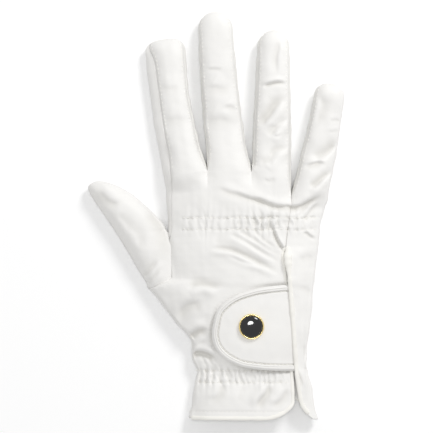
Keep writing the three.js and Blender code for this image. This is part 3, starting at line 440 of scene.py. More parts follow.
def seam_right_x(down):
    """Back seam on the little side."""
    return right_x(down) - PALM_INSET


def vent_x(down, column):
    """The back panel's edge at the vent (column 1) or the side panel's (column 2)."""
    return centre_x(down) + through(VENT[:, 0], VENT[:, column], down) * local_width(down)


def hand_heights(down):
    """Top, left seam and right seam heights of the hand at a share of its length."""
    below = (down - WRIST_DOWN) / (1 - WRIST_DOWN)
    thick = np.where(
        down < WRIST_DOWN,
        HAND_TOP + (WRIST_TOP - HAND_TOP) * step(down, 0.35, WRIST_DOWN),
        WRIST_TOP + (CUFF_TOP - WRIST_TOP) * below,
    )
    seam = BACK_SEAM + (WRIST_SEAM - BACK_SEAM) * step(down, 0.5, WRIST_DOWN)
    return thick * hand_column(down, 4), seam * hand_column(down, 5), seam


def hand_top(x, y):
    """Smooth height of the hand's back: from the seams up to the top as 1 - |across|^2.8."""
    down = down_of(y)
    top, left, right = hand_heights(down)
    start, end = seam_left_x(down), seam_right_x(down)
    across = np.clip(2 * (x - start) / (end - start) - 1, -1, 1)
    edge = left + (right - left) * (across + 1) / 2
    return edge + (top - edge) * (1 - np.abs(across) ** DOME_POWER)


# The relief of the leather's upper side
def crease(x, y, row):
    """Height change of one crease: a bell-shaped valley along a curve, steeper towards its lip, which is a
    second and lower bell beside it. Both fade in and out along the curve."""
    x0, y0, xm, ym, x1, y1, width, depth, lip, side = row
    reach = 4.5 * width
    near = (
        (x > min(x0, xm, x1) - reach) & (x < max(x0, xm, x1) + reach)
        & (y > min(y0, ym, y1) - reach) & (y < max(y0, ym, y1) + reach)
    )
    out = np.zeros(x.shape)
    if not near.any():
        return out
    px, py = x[near], y[near]
    t = np.linspace(0, 1, 15)
    cx = (1 - t) ** 2 * x0 + 2 * t * (1 - t) * (2 * xm - (x0 + x1) / 2) + t * t * x1
    cy = (1 - t) ** 2 * y0 + 2 * t * (1 - t) * (2 * ym - (y0 + y1) / 2) + t * t * y1
    best = np.full(px.shape, 1e9)
    along = np.zeros(px.shape)
    away = np.zeros(px.shape)
    for k in range(len(t) - 1):
        dx, dy = cx[k + 1] - cx[k], cy[k + 1] - cy[k]
        size = dx * dx + dy * dy + 1e-9
        share = np.clip(((px - cx[k]) * dx + (py - cy[k]) * dy) / size, 0, 1)
        ox, oy = px - cx[k] - share * dx, py - cy[k] - share * dy
        gap = np.hypot(ox, oy)
        closer = gap < best
        best = np.where(closer, gap, best)
        along = np.where(closer, t[k] + share * (t[k + 1] - t[k]), along)
        away = np.where(closer, gap * np.sign(dx * oy - dy * ox), away)
    away = side * (away + 0.18 * width * np.sin(9 * along + x0))
    fade = step(along, 0, 0.3) * (1 - step(along, 0.7, 1))
    squeeze = np.where(away > 0, 1.5, 0.75)
    valley = -depth * bell(away * squeeze, width)
    ridge = lip * bell(away - 1.7 * width, 1.3 * width)
    out[near] = fade * (valley + ridge)
    return out


def gather(x, y, row):
    """Height change of a gathered band: upright puckers of uneven spacing, lean and strength. They stand up
    between the two stitched rows, are pinched to a dimple in each valley at both, and fade out beyond."""
    upper, lower, spacing, above, below, seed, xs, powers = row
    first, last = xs[0], xs[-1]
    rng = np.random.default_rng(seed)
    count = int((last - first) / spacing) + 3
    places = first - spacing + np.cumsum(spacing * rng.uniform(0.6, 1.4, count))
    lean = rng.uniform(-1.5, 1.5, count)
    bend = rng.uniform(-0.4, 0.4, count)
    t = np.clip((upper - y) / (upper - lower), -0.8, 1.8)
    near = np.interp(x, places, np.arange(count))
    across = x + np.interp(near, np.arange(count), lean) * (t - 0.5)
    u = np.interp(across, places, np.arange(count)) + 0.1 * np.sin(0.9 * y + 5 * near)
    strength = np.interp(u, np.arange(count), rng.uniform(0.55, 1.3, count)) * through(xs, powers, x)
    ridge = 0.5 + 0.5 * np.cos(2 * np.pi * (u + np.interp(near, np.arange(count), bend) * bell(t - 0.5, 0.4)))
    inside = step(x, first - 2, first + 3) * (1 - step(x, last - 3, last + 2))
    off = np.maximum(y - upper, lower - y)
    far = np.where(y > upper, above, below) * np.interp(u, np.arange(count), rng.uniform(0.5, 1.4, count))
    arch = np.sin(np.pi * np.clip(t, 0, 1)) ** 0.8
    beyond = (0.35 + 0.3 * step(off, 0, 1.5)) * np.exp(-np.maximum(off, 0) / far)
    share = np.where(off <= 0, 0.35 + 0.65 * arch, beyond)
    height = 1.6 * strength**1.5 * share * (ridge**0.8 - 0.5)
    for level in (upper, lower):
        wander = level + 0.35 * np.sin(1.3 * u + seed)
        dimple = np.interp(u + 7 * (level == lower), np.arange(count + 8), rng.uniform(0.4, 1.3, count + 8))
        height -= (0.3 + 0.7 * strength) * bell(y - wander, 0.75) * (0.15 + 1.1 * dimple * (1 - ridge) ** 1.6)
    return inside * height


def tab_pressed(x, y):
    """How far the tab presses into the leather round its outline: a bell of the distance from it."""
    outline = tab_outline()[::3]
    low, high = outline.min(0) - 4, outline.max(0) + 4
    pressed = np.zeros(np.broadcast(x, y).shape)
    near = (x > low[0]) & (x < 26) & (y > low[1]) & (y < high[1])
    if near.any():
        gap = np.hypot(x[near][:, None] - outline[:, 0], y[near][:, None] - outline[:, 1])
        pressed[near] = bell(np.maximum(gap.min(1) - 0.5, 0), TAB_GROOVE[1])
    return pressed


def relief(x, y):
    """Height change of the whole upper side at a place in plan, and the painted shade there, which grows with
    how deep in a fold or groove that place lies.
    """
    sizes = sizes_now()
    fine = np.zeros(np.broadcast(x, y).shape)
    for row in CREASES:
        fine += crease(x, y, row)
    fine *= sizes.crease_depth
    for row in GATHERS:
        fine += sizes.gather_height * gather(x, y, row)
    down = down_of(y)
    sewn = step(-y, -14, -9) * (1 - step(down, 0.285, 0.305))
    fine -= SEAM_GROOVE[0] * sewn * bell(x - vent_x(down, 1), SEAM_GROOVE[1])
    fine -= HEM_GROOVE[0] * bell(y - HEM_STITCHES, HEM_GROOVE[1]) * (x < 24)
    soft = sum(height * waves(x, y, length, seed) for height, length, seed in SWELLS)
    under_tab = step(x, -22, -15) * step(-y, 62, 70) * (1 - step(-y, 110, 116)) * (1 - step(x, 27, 29))
    fine = fine - TAB_GROOVE[0] * tab_pressed(x, y)
    # Painted shade: the deeper the fold or groove, the darker; none under the tab
    hollow = np.clip(-fine / 1.6, 0, 1)
    return (fine + sizes.softness * soft) * (1 - under_tab), hollow * (1 - under_tab)


# Sheets of points: each is a grid of x, y, z and the painted shade at the point, which grows with how deep in
# a fold or seam it lies
def sheet(x, y, z, hollow=0.0):
    """One grid from its columns."""
    x, y, z, hollow = np.broadcast_arrays(x, y, z, hollow)
    return np.stack([x, y, z, hollow], -1).astype(float)


def facing(grid, inner):
    """The grid with its columns in the order that makes its faces look away from the inner point."""
    a, c = grid[:-1, :-1, :3], grid[1:, 1:, :3]
    b, d = grid[:-1, 1:, :3], grid[1:, :-1, :3]
    normal = np.cross(c - a, d - b)
    out = (a + b + c + d) / 4 - np.asarray(inner, float)
    return grid if (normal * out).sum() > 0 else grid[:, ::-1]


def far_from(grid, height):
    """A point far over or under the middle of a grid, for sheets that face up or down."""
    return grid[..., :3].reshape(-1, 3).mean(0) * [1, 1, 0] + [0, 0, height]


def between_rows(inner, columns):
    """One inner point for each face of a grid, from one for each of its rows."""
    return ((inner[:-1] + inner[1:]) / 2).repeat(columns, 1)


def weld(grids):
    """One mesh from grids that share their borders: equal points become one, and a quad that lost a corner
    becomes a triangle."""
    points, quads, base = [], [], 0
    for grid in grids:
        rows, columns = grid.shape[:2]
        ids = base + np.arange(rows * columns).reshape(rows, columns)
        quads.append(np.stack([ids[:-1, :-1], ids[:-1, 1:], ids[1:, 1:], ids[1:, :-1]], -1).reshape(-1, 4))
        points.append(grid.reshape(-1, 4))
        base += rows * columns
    points, quads = np.concatenate(points), np.concatenate(quads)
    key = np.round(points[:, :3] * 2000).astype(np.int64)
    _, first, same = np.unique(key, axis=0, return_index=True, return_inverse=True)
    points, quads = points[first], same.reshape(-1)[quads]
    lost = quads == np.roll(quads, -1, 1)
    whole = quads[~lost.any(1)]
    torn, at = quads[lost.sum(1) == 1], lost[lost.sum(1) == 1].argmax(1)
    keep = (at[:, None] + np.array([1, 2, 3])) % 4
    corners = np.take_along_axis(torn, keep, 1)
    return points, whole.tolist() + corners.tolist()


def lay(points):
    """From millimetres of the plan to metres of the frame."""
    sizes = sizes_now()
    return points[:, :3] * MM + np.array([sizes.knuckle_x, sizes.knuckle_y, 0])


def piece(name, points, faces, material, slot, replaced=(), wall=0.0):
    """A finished object in the frame, riding on its one body, with the painted shade of its folds and seams
    kept as an attribute.
    """
    mesh = bpy.data.meshes.new(name)
    mesh.from_pydata(lay(points).tolist(), [], faces)
    mesh.validate()
    mesh.polygons.foreach_set("use_smooth", np.ones(len(mesh.polygons), bool))
    if points.shape[1] > 3:
        # The painted shade of folds, seams and grooves, as a point attribute
        attribute = mesh.attributes.new("hollow", "FLOAT", "POINT")
        attribute.data.foreach_set("value", points[:, 3].astype(np.float32))
    mesh.materials.append(material)
    obj = bpy.data.objects.new(name, mesh)
    bpy.context.scene.collection.objects.link(obj)
    if wall:
        solid = obj.modifiers.new("Wall", "SOLIDIFY")
        solid.thickness = wall
        solid.offset = -1
    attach(obj, "root")
    if replaced:
        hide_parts(*replaced)
    return obj


# Fingers
class Finger:
    """One finger's outline, seams and surfaces by the distance along it and v, -1 at its left edge and 1 at
    its right. Its end is the superellipse |v|^p + rise^p = 1."""

    def __init__(self, n):
        self.n, self.name = n, list(FINGERS)[n]
        self.width, self.length, splay, bow, share, self.power, left, right = FINGERS[self.name]
        self.seams = {-1: left, 1: right}
        turn = np.radians(splay)
        self.ahead = np.array([np.sin(turn), np.cos(turn)])
        self.across = np.array([np.cos(turn), -np.sin(turn)])
        self.ends = [np.array([SPREAD[k] - KNUCKLES / 2, CROTCH_RISE[k] * HAND_LENGTH]) for k in (n, n + 1)]
        self.base = (self.ends[0] + self.ends[1]) / 2
        self.tip = self.length * share
        self.straight = self.length - self.tip
        self.rise = np.sin(np.radians(50)) ** (2 / self.power)
        self.last = self.straight + self.tip * self.rise
        self.bow = bow * self.width

    def rows(self, pitch):
        """Distances along the finger: even up to the round end, and then closer and closer."""
        start = self.straight - 0.8 * self.tip
        t = np.linspace(0, 1, 30)[1:]
        even = np.linspace(0, start, int(start / pitch) + 1)
        return np.concatenate([even, start + (self.last - start) * (1 - (1 - t) ** 2)])

    def near(self, along):
        """0 up to the round end, and 1 at the tip."""
        start = self.straight - 0.8 * self.tip
        return np.clip((along - start) / (self.last - start), 0, 1)

    def middle(self, along):
        """The finger's middle line, which bows out as half a sine wave."""
        swing = self.bow * np.sin(np.pi * np.minimum(along, self.straight) / self.straight / 1.25)
        return self.base + along[..., None] * self.ahead + swing[..., None] * self.across

    def half(self, along):
        """Half the width: the taper, and at the round end the superellipse."""
        r = np.clip((along - self.straight) / self.tip, 0, 1)
        taper = through(TAPER_AT, TAPER[self.name], along / self.length)
        return self.width / 2 * taper * (1 - r**self.power) ** (1 / self.power)

    def edge(self, along, side, inset, start):
        """A line along one side, measured in from the outline, which runs into its start at the root."""
        fade = 1 - self.near(along) ** 2
        zero = np.zeros(1)
        raw = self.middle(along) + (side * (self.half(along) - inset * fade))[..., None] * self.across
        root = self.middle(zero)[0] + side * (self.half(zero)[0] - inset) * self.across
        pull = 1 - step(along, 0, 14)
        return raw + pull[..., None] * (start - root)

    def arc(self, v):
        """How far the round end reaches ahead across the finger: 1 in the middle and 0 at both edges."""
        width = np.cos(np.radians(50)) ** (2 / self.power)
        return ((1 - (width * np.abs(v)) ** self.power) ** (1 / self.power) - self.rise) / (1 - self.rise)

    def ends_at(self, along):
        """Heights of the back's top, of the back seam and of the palm seam."""
        near = self.near(along)
        top = HAND_TOP * ROOT_SHARE + (FINGER_TOP - HAND_TOP * ROOT_SHARE) * step(along, 0, 30)
        root = ROOT_LIFT * (1 - step(along, 0, 16))
        high = BACK_SEAM + root + (TIP_SEAM - BACK_SEAM) * near**2
        low = PALM_SEAM + (TIP_SEAM - PALM_SEAM) * near**2
        return near, top, high, low

    def across_at(self, along, v, left, right):
        """Points between two edge lines, bowed ahead near the tip, and their distances from the edges."""
        a, b = left[:, None, :], right[:, None, :]
        t = ((v + 1) / 2)[None, :, None]
        bowed = self.tip * (1 - self.rise) * step(along, self.straight - 2 * self.tip, self.last)
        lead = bowed[:, None] * self.arc(v)[None, :]
        place = a + (b - a) * t + lead[..., None] * self.ahead
        width = np.linalg.norm(b - a, axis=-1)
        reach = self.last - along[:, None] + self.tip * (1 - self.rise) * self.arc(v)[None, :] - lead
        return place, width * t[..., 0], width * (1 - t[..., 0]), reach

    def rolled(self, place, z, side_pull, tip_pull, near, up):
        """The edges of a panel roll inwards at the seams: each point moves in towards the finger by a bell
        of its distance from the seam, and down or up by another."""
        depth = roll_depth()
        place = place - (side_pull * depth)[..., None] * self.across
        place = place - (tip_pull * depth)[..., None] * self.ahead
        amount = np.maximum(np.abs(side_pull), tip_pull) * (1 - near**4)
        return place, z + up * ROLL_DROP * depth * amount

    def held(self, along, k):
        """The seams' roll fades out at a crotch, where two fingers share their edge."""
        return step(along, 0, 4) if 0 < k < 4 else np.ones_like(along)

    def back(self, along, v, starts, free=()):
        """The finger's back: its height is the seam's plus (top - seam)(1 - |v|^2.8) sqrt(1 - near^2.2)."""
        left = self.edge(along, -1, self.seams[-1], starts[0])
        right = self.edge(along, 1, self.seams[1], starts[1])
        place, from_left, from_right, reach = self.across_at(along, v, left, right)
        near, top, high, _ = (a[:, None] if np.ndim(a) else a for a in self.ends_at(along))
        level = (1 - np.abs(v) ** DOME_POWER) * np.sqrt(1 - near**TIP_POWER)
        z = high + (top - high) * level
        pull_left = bell(from_left, ROLL_WIDTH) * self.held(along, self.n)[:, None] * (-1 not in free)
        pull_right = bell(from_right, ROLL_WIDTH) * self.held(along, self.n + 1)[:, None] * (1 not in free)
        edge = np.minimum(np.minimum(from_left, from_right), reach)
        bump, hollow = relief(place[..., 0], place[..., 1])
        inner = step(edge, *FADE_IN) if not free else step(np.minimum(from_left, reach), *FADE_IN)
        turns = along[:, None] / 3.4 + 0.3 * np.sin(along[:, None])
        pucker = 0.1 * bell(edge - 1.6, 1.2) * np.cos(2 * np.pi * turns)
        z = z + bump * inner * (1 - near**6) + pucker
        tip_pull = bell(reach, ROLL_WIDTH)
        place, z = self.rolled(place, z, pull_right - pull_left, tip_pull, near, -1)
        seam = np.maximum(np.maximum(pull_left, pull_right), tip_pull)
        # Painted shade in the folds and along the rolled seams
        return sheet(place[..., 0], place[..., 1], z, np.maximum(hollow * inner, SEAM_SHADE * seam))

    def palm(self, along, v, starts, free=()):
        """The palm side: flat on the table, and rising to the palm seam in the outer fifths."""
        left = self.edge(along, -1, PALM_INSET, starts[0])
        right = self.edge(along, 1, PALM_INSET, starts[1])
        place, from_left, from_right, reach = self.across_at(along, v, left, right)
        near, _, _, low = (a[:, None] if np.ndim(a) else a for a in self.ends_at(along))
        z = low * (1 - (1 - palm_rise(v)) * np.sqrt(1 - near**4))
        pull_left = bell(from_left, ROLL_WIDTH) * self.held(along, self.n)[:, None] * (-1 not in free)
        pull_right = bell(from_right, ROLL_WIDTH) * self.held(along, self.n + 1)[:, None]
        tip_pull = bell(reach, ROLL_WIDTH)
        place, z = self.rolled(place, z, pull_right - pull_left, tip_pull, near, 1)
        seam = np.maximum(np.maximum(pull_left, pull_right), tip_pull)
        # Painted shade along the rolled seams
        return sheet(place[..., 0], place[..., 1], z, SEAM_SHADE * seam)

    def wall(self, along, side, starts, free_high=False, free_low=False):
        """The side between the back seam and the palm seam, bulging out to the outline as 4t(1 - t)."""
        near, _, high, low = self.ends_at(along)
        back = self.edge(along, side, self.seams[side], starts[0])[:, None]
        out = self.edge(along, side, 0, starts[1])[:, None]
        under = self.edge(along, side, PALM_INSET, starts[2])[:, None]
        t = WALL_T[None, :]
        bulge = (out - (back + under) / 2) * (4 * t * (1 - t))[..., None]
        place = back + (under - back) * t[..., None] + bulge
        z = high[:, None] + (low - high)[:, None] * t
        depth = (high - low)[:, None]
        k = self.n if side < 0 else self.n + 1
        held = self.held(along, k)[:, None]
        top = bell(t * depth, ROLL_WIDTH) * (0 if free_high else 1) * held
        bottom = bell((1 - t) * depth, ROLL_WIDTH) * (0 if free_low else 1) * held
        tip_pull = bell(self.last - along, ROLL_WIDTH)[:, None] * np.ones_like(t)
        roll = roll_depth()
        wave = 0.16 * np.sin(np.pi * t) * waves(along[:, None] + 40 * self.n, 3 * side * t, 9, 7 + self.n)
        pull = side * (np.maximum(top, bottom) * roll - wave)
        place = place - pull[..., None] * self.across - (tip_pull * roll)[..., None] * self.ahead
        z = z + ROLL_DROP * roll * (bottom - top) * (1 - near[:, None] ** 4)
        seam = np.maximum(np.maximum(top, bottom), tip_pull)
        # Painted shade along the rolled seams at the top, bottom and tip
        return sheet(place[..., 0], place[..., 1], z, SEAM_SHADE * seam)


def crotch(k):
    """The point between fingers k - 1 and k, or the outer end of the knuckle line."""
    return FINGER[min(k, 3)].ends[1 if k == 4 else 0].copy()


def starts(k):
    """Where a finger's edges start on the knuckle line: the back seam, the outline and the palm seam."""
    back, outline, palm = crotch(k), crotch(k), crotch(k)
    if 0 < k < 4:
        outline[1] += 2.5
        palm[1] += 4.0
    if k == 0:
        back[0] = seam_left_x(0.0)
        palm[0] += PALM_INSET
    if k == 4:
        back[0] = palm[0] = seam_right_x(0.0)
    return back, outline, palm


FINGER = [Finger(n) for n in range(4)]


# The hand's sheets
def finger_back(n, pitch=PITCH):
    """The back of finger n. The little finger's right edge is free: its back runs on into the side."""
    ends = starts(n)[0], starts(n + 1)[0]
    return FINGER[n].back(FINGER[n].rows(pitch), SOFT_V, ends, free=(1,) if n == 3 else ())


def joined_roots(fingers):
    """The first rows of neighbouring fingers as one row, with each shared point once."""
    return np.concatenate([fingers[0][0]] + [grid[0][1:] for grid in fingers[1:]])


def table_top(x, y):
    """Height of the table."""
    return np.zeros(np.broadcast(x, y).shape)


def hand_grid(first, left, right, length, height, lifted=0.0):
    """The hand below a first row of points: its columns close up to the two edges, the first row's bends
    fade out over a fifth of the length, and so does its height."""
    down = DOWN[:, None]
    share = (first[:, 0] - first[0, 0]) / (first[-1, 0] - first[0, 0])
    x = left[:, None] + (right - left)[:, None] * share
    y = -down * length + first[None, :, 1] * (1 - step(down, 0, 0.2))
    z = height(x, y)
    keep = 1 - step(-y + first[None, :, 1], 0, 12)
    base = first[None, :, 2] - lifted - height(first[:, 0], first[:, 1])[None, :]
    return x, y, z + base * keep


def seam_roll(x, z, edge_x, inward, hollow):
    """The hand's outer seams roll in as the fingers' do, with painted shade along the roll."""
    depth = roll_depth()
    pull = bell(np.abs(x - edge_x), ROLL_WIDTH)
    return x + inward * depth * pull, z - ROLL_DROP * depth * pull, np.maximum(hollow, SEAM_SHADE * pull)


def back_sheets():
    """The back panel: three finger backs over the back of the hand, which ends at the vent and the hem."""
    fingers = [finger_back(n) for n in range(3)]
    first = joined_roots(fingers)
    down = DOWN
    room = BACK_ROOM * step(down, *VENT_OPENS)
    lap = SEAM_LAP * step(down, 0.01, 0.06) * (1 - step(down, *VENT_OPENS))
    left, right = seam_left_x(down), vent_x(down, 1) - room + lap
    lifted = relief(first[:, 0], first[:, 1])[0]
    x, y, z = hand_grid(first, left, right, HAND_LENGTH - HEM_INSET, hand_top, lifted)
    # Relief and the painted shade of its folds and grooves
    bump, hollow = relief(x, y)
    z = z + bump * step(x - left[:, None], *FADE_IN)
    z = z - 0.7 * lap[:, None] * step(x - right[:, None], -1.8, -0.5)
    x, z, hollow = seam_roll(x, z, left[:, None], 1, hollow)
    grid = sheet(x, y, z, hollow)
    grid[0] = first
    return fingers, grid


def side_lift(down, x, left):
    """How far the side strip's edge stands over the back where it covers the vent."""
    lift = through(VENT[:, 0], VENT[:, 3], down)
    held = TAB_OVERLAP + 1 - SIDE_ROOM
    width = np.maximum(seam_right_x(down) - left, held + 1)
    return lift * (1 - step((x - left - held) / (width - held), 0, 1))


def side_sheets():
    """The side panel: the little finger's back, the strip beside the vent and the wall to the palm seam."""
    little, t, down = FINGER[3], WALL_T, DOWN
    top = finger_back(3)
    wall = little.wall(little.rows(PITCH), 1, starts(4), free_high=True)
    wall[:, 0] = top[:, -1]
    finger = np.concatenate([top, wall[:, 1:]], 1)
    left = vent_x(down, 2) + SIDE_ROOM * step(down, *VENT_OPENS)
    right = seam_right_x(down)
    first = top[0]
    lifted = relief(first[:, 0], first[:, 1])[0]
    x, y, z = hand_grid(first, left, right, HAND_LENGTH - 0.4, hand_top, lifted)
    # Relief and the painted shade of its folds and grooves
    bump, hollow = relief(x, y)
    rim = np.where(down[:, None] > VENT_OPENS[0], step(x - left[:, None], 0.0, 2.0), 1)
    z = z + bump * (0.5 + 0.5 * rim) + side_lift(down[:, None], x, left[:, None])
    share = (x - x[:, :1]) / (x[:, -1:] - x[:, :1])
    grid = sheet(x, y + 2.4 * step(down[:, None], 0.9, 1) * (1 - share) ** 2, z, hollow)
    high, low = grid[:, -1, :3], grid[:, -1, :3] * [1, 1, 0] + [0, 0, PALM_SEAM]
    out = np.stack([right_x(down), grid[:, -1, 1]], -1)
    s = t[None, :, None]
    wall = high[:, None] + (low - high)[:, None] * s
    bulge = out[:, None] - (high + low)[:, None, :2] / 2
    wall[..., :2] += bulge * 4 * s * (1 - s)
    wall[..., 0] += 0.18 * np.sin(np.pi * t) * waves(wall[..., 1], 4 * t[None, :], 11, 21)
    depth = high[:, None, 2] - PALM_SEAM
    pull = bell((1 - t)[None, :] * depth, ROLL_WIDTH)
    wall[..., 0] -= roll_depth() * pull
    wall[..., 2] += ROLL_DROP * roll_depth() * pull
    # Painted shade along the wall's rolled seam
    wall = np.concatenate([wall, SEAM_SHADE * pull[..., None]], -1)
    hand = np.concatenate([grid, wall[:, 1:]], 1)
    hand[0] = finger[0]
    return finger, hand


def palm_sheets():
    """The palm panel: the fingers' palm sides, the palm, and the wall up to the index side's back seam."""
    outer = 0.3 * np.linspace(0, 1, 8)
    v = np.concatenate([outer - 1, np.linspace(-0.7, 0.7, 9)[1:-1], 0.7 + outer])
    fingers = []
    for n, finger in enumerate(FINGER):
        ends = starts(n)[2], starts(n + 1)[2]
        fingers.append(finger.palm(finger.rows(PALM_PITCH), v, ends, free=(-1,) if n == 0 else ()))
    first = joined_roots(fingers)
    index, t, down = FINGER[0], WALL_T, DOWN
    wall = index.wall(index.rows(PALM_PITCH), -1, starts(0), free_low=True)
    wall[:, -1] = fingers[0][:, 0]
    mouth = np.clip(hand_column(down, 6), 0, 1)
    left, right = left_x(down) + PALM_INSET, seam_right_x(down)
    half = len(v) // 2
    rise = np.zeros(len(first))
    rise[:half] = palm_rise(v)[:half]
    rise[-half:] = palm_rise(v)[-half:]
    opened = 1 - mouth[:, None] * (np.arange(len(first)) < half)[None, :]
    x, y, _ = hand_grid(first, left, right, HAND_LENGTH - HEM_INSET, table_top)
    keep = 1 - step(-y + first[None, :, 1], 0, 10)
    level = rise[None, :] == 0
    z = np.maximum(PALM_SEAM * rise[None, :] * opened, first[None, :, 2] * keep * level)
    z = z + 0.12 * (1 + waves(x, y, 16, 31)) * step(-y, 12, 30) * level
    gap = (vent_x(down, 1) + vent_x(down, 2))[:, None] / 2
    z = z + 4.2 * bell(x - gap, 5) * step(down[:, None], 0.78, 0.88)
    off = ((x - centre_x(down)[:, None]) / local_width(down)[:, None] - 0.32) / 0.11
    y = y + step(down[:, None], 0.8, 1) * 0.085 * HAND_LENGTH * np.exp(-off * off)
    roll = roll_depth()
    pull = bell(np.abs(x - right[:, None]), ROLL_WIDTH)
    x, z = x - roll * pull, z + ROLL_DROP * roll * pull
    # Painted shade along the rolled seam on the little side
    hand = sheet(x, y, z, SEAM_SHADE * pull)
    hand[0] = first
    high_x = seam_left_x(down) + (left_x(down) - seam_left_x(down)) * mouth
    low = hand[:, 0, :3]
    high_z = (hand_heights(down)[1] + ROOT_LIFT * (1 - step(-low[:, 1], 0, 12))) * (1 - mouth)
    high = np.stack([high_x, low[:, 1], high_z], -1)
    middle = (high + low) / 2
    out_x = left_x(down) + (middle[:, 0] - left_x(down)) * mouth
    s = t[None, :, None]
    side = high[:, None] + (low - high)[:, None] * s
    side[..., 0] += ((out_x - middle[:, 0])[:, None] + 0.2 * waves(side[..., 1], 0, 12, 33)) * 4 * t * (1 - t)
    top = bell(t[None, :] * (high_z[:, None] - PALM_SEAM), ROLL_WIDTH) * (1 - mouth[:, None])
    side[..., 0] += roll * top
    side[..., 2] -= ROLL_DROP * roll * top
    # Painted shade along the wall's rolled seam
    side = np.concatenate([side, SEAM_SHADE * top[..., None]], -1)
    side[:, -1] = hand[:, 0]
    side[0] = wall[0]
    return fingers, hand, wall, side


def thumb_point(x, y, sewn, reach):
    """A point of the thumb's plan from its shares, reach mm further in, which follows the hand where sewn."""
    up = -CROTCH_DOWN * HAND_LENGTH + y * np.where(y < 0, THUMB_ROOT, THUMB_RISE)
    hand = left_x(CROTCH_DOWN) + (left_x(down_of(up)) - left_x(CROTCH_DOWN)) * sewn
    return np.stack([hand + reach - x * THUMB_REACH, up], -1)


def thumb_sheet(upper):
    """One sheet of the thumb: rows from edge to edge of its outline, domed above as 1 - |v|^2.8 and flat
    below, with a steep round end. The root is tucked into the hand."""
    last = len(THUMB) - 1
    closer = 3 * (1 - (1 - np.linspace(0, 1, 42)[1:]) ** 2)
    q = np.concatenate([np.linspace(0, last - 3, 90), last - 3 + closer])
    column = [through(np.arange(last + 1), THUMB[:, k], q) for k in range(7)]
    height = column[4][:, None]
    mouth, tip = np.clip(column[5], 0, 1)[:, None], np.clip(column[6], 0, 1)[:, None]
    left = thumb_point(column[0], column[1], 0 * q, -0.3)
    right = thumb_point(column[2], column[3], mouth[:, 0], 2.9 * mouth[:, 0] ** 0.25 - 0.3)
    run = right - left
    width = np.linalg.norm(run, axis=-1)
    ahead = np.stack([-run[:, 1], run[:, 0]], -1) / width[:, None]
    v = SOFT_V[None, :]
    lead = tip**2 * 0.12 * width[:, None] * (1 - v * v)
    place = left[:, None] + run[:, None] * ((v + 1) / 2)[..., None] + lead[..., None] * ahead[:, None]
    from_left, from_right = width[:, None] * (v + 1) / 2, width[:, None] * (1 - v) / 2
    reach = (q[-1] - q)[:, None] * 6 + 0.12 * width[:, None] * (1 - v * v) * (1 - tip**2)
    seam = TIP_SEAM + (BACK_SEAM - 0.7 - TIP_SEAM if upper else -TIP_SEAM) * mouth * np.maximum(v, 0)
    closed = 1 - mouth
    side_pull = bell(from_right, ROLL_WIDTH) * closed - bell(from_left, ROLL_WIDTH)
    tip_pull = bell(reach, ROLL_WIDTH)
    pull = np.maximum(np.abs(side_pull), tip_pull)
    if upper:
        top = THUMB_TOP * height
        z = seam + np.maximum(0, top - seam) * (1 - np.abs(v) ** DOME_POWER) * np.sqrt(1 - tip**TIP_POWER)
        bump, hollow = relief(place[..., 0], place[..., 1])
        inner = step(np.minimum(from_left, reach), *FADE_IN) * (1 - tip**6)
        inner = inner * np.maximum(mouth, step(from_right, *FADE_IN))
        z = z + bump * inner
        hollow = hollow * inner
    else:
        z = seam * (1 - (1 - palm_rise(v)) * np.sqrt(1 - tip**4))
        hollow = 0 * z
    roll = roll_depth()
    across = run / width[:, None]
    tuck = np.clip(1 - q / 0.35, 0, 1)[:, None] ** 2
    place[..., 1] -= 2.4 * tuck
    z = np.maximum(z - (1.1 if upper else -0.5) * tuck, 0)
    place = place - (roll * side_pull)[..., None] * across[:, None]
    place = place - (roll * tip_pull)[..., None] * ahead[:, None]
    z = z + (-ROLL_DROP if upper else ROLL_DROP) * roll * pull * (1 - tip**4)
    # Painted shade in the folds and along the rolled seams
    return sheet(place[..., 0], place[..., 1], z, np.maximum(hollow, SEAM_SHADE * pull))


def band(path, out, width, height, wobble=0.0, seed=0, bulge=None):
    """A rounded band carried along a path: its section is the superellipse |u|^2.6 + |w|^2.6 = 1, which
    swells and shrinks a little along the way. out is the sideways direction at each point of the path."""
    turn = np.linspace(0, 2 * np.pi, 13)
    c, s = np.cos(turn), np.sin(turn)
    u = np.sign(c) * np.abs(c) ** (2 / BAND_POWER)
    w = np.sign(s) * np.abs(s) ** (2 / BAND_POWER)
    length = run_length(path)[:, None]
    swell = 1 + wobble * waves(length, 0 * length, 6, seed)
    if bulge is not None:
        swell = swell + bulge[:, None] * (1 + 0.35 * waves(length, 0 * length, 4, seed + 1))
    taper = np.sqrt(np.clip(np.minimum(length, length[-1] - length) / 1.2, 0.02, 1))
    across = out[:, None] * (u[None, :] * width / 2 * swell * taper)[..., None]
    rise = w[None, :] * height / 2 * swell * taper
    x, y = path[:, None, 0] + across[..., 0], path[:, None, 1] + across[..., 1]
    z = np.maximum(0.02, path[:, None, 2] + rise)
    # Painted shade on the band's lower half, darker towards its underside
    grid = sheet(x, y, z, 0.1 * np.clip(-w, 0, 1)[None, :])
    middle = np.concatenate([path, np.zeros((len(path), 1))], 1)[:, None]
    caps = [np.concatenate([middle[k].repeat(len(turn), 0)[None], grid[k][None]]) for k in (0, -1)]
    tube = facing(grid, between_rows(path[:, None], len(turn) - 1))
    return [tube, facing(caps[0], path[1]), facing(caps[1], path[-2])]


def sideways(path, away):
    """Level direction across a path."""
    run = np.gradient(path[:, :2], axis=0)
    run /= np.linalg.norm(run, axis=1, keepdims=True)
    return np.stack([run[:, 1], -run[:, 0]], -1) * away


def resample(path, pitch):
    """The same path with its points a pitch apart, along a smooth curve."""
    length = run_length(path)
    at = np.linspace(0, length[-1], max(3, int(length[-1] / pitch)))
    return np.stack([through(length, path[:, k], at) for k in range(path.shape[1])], -1)


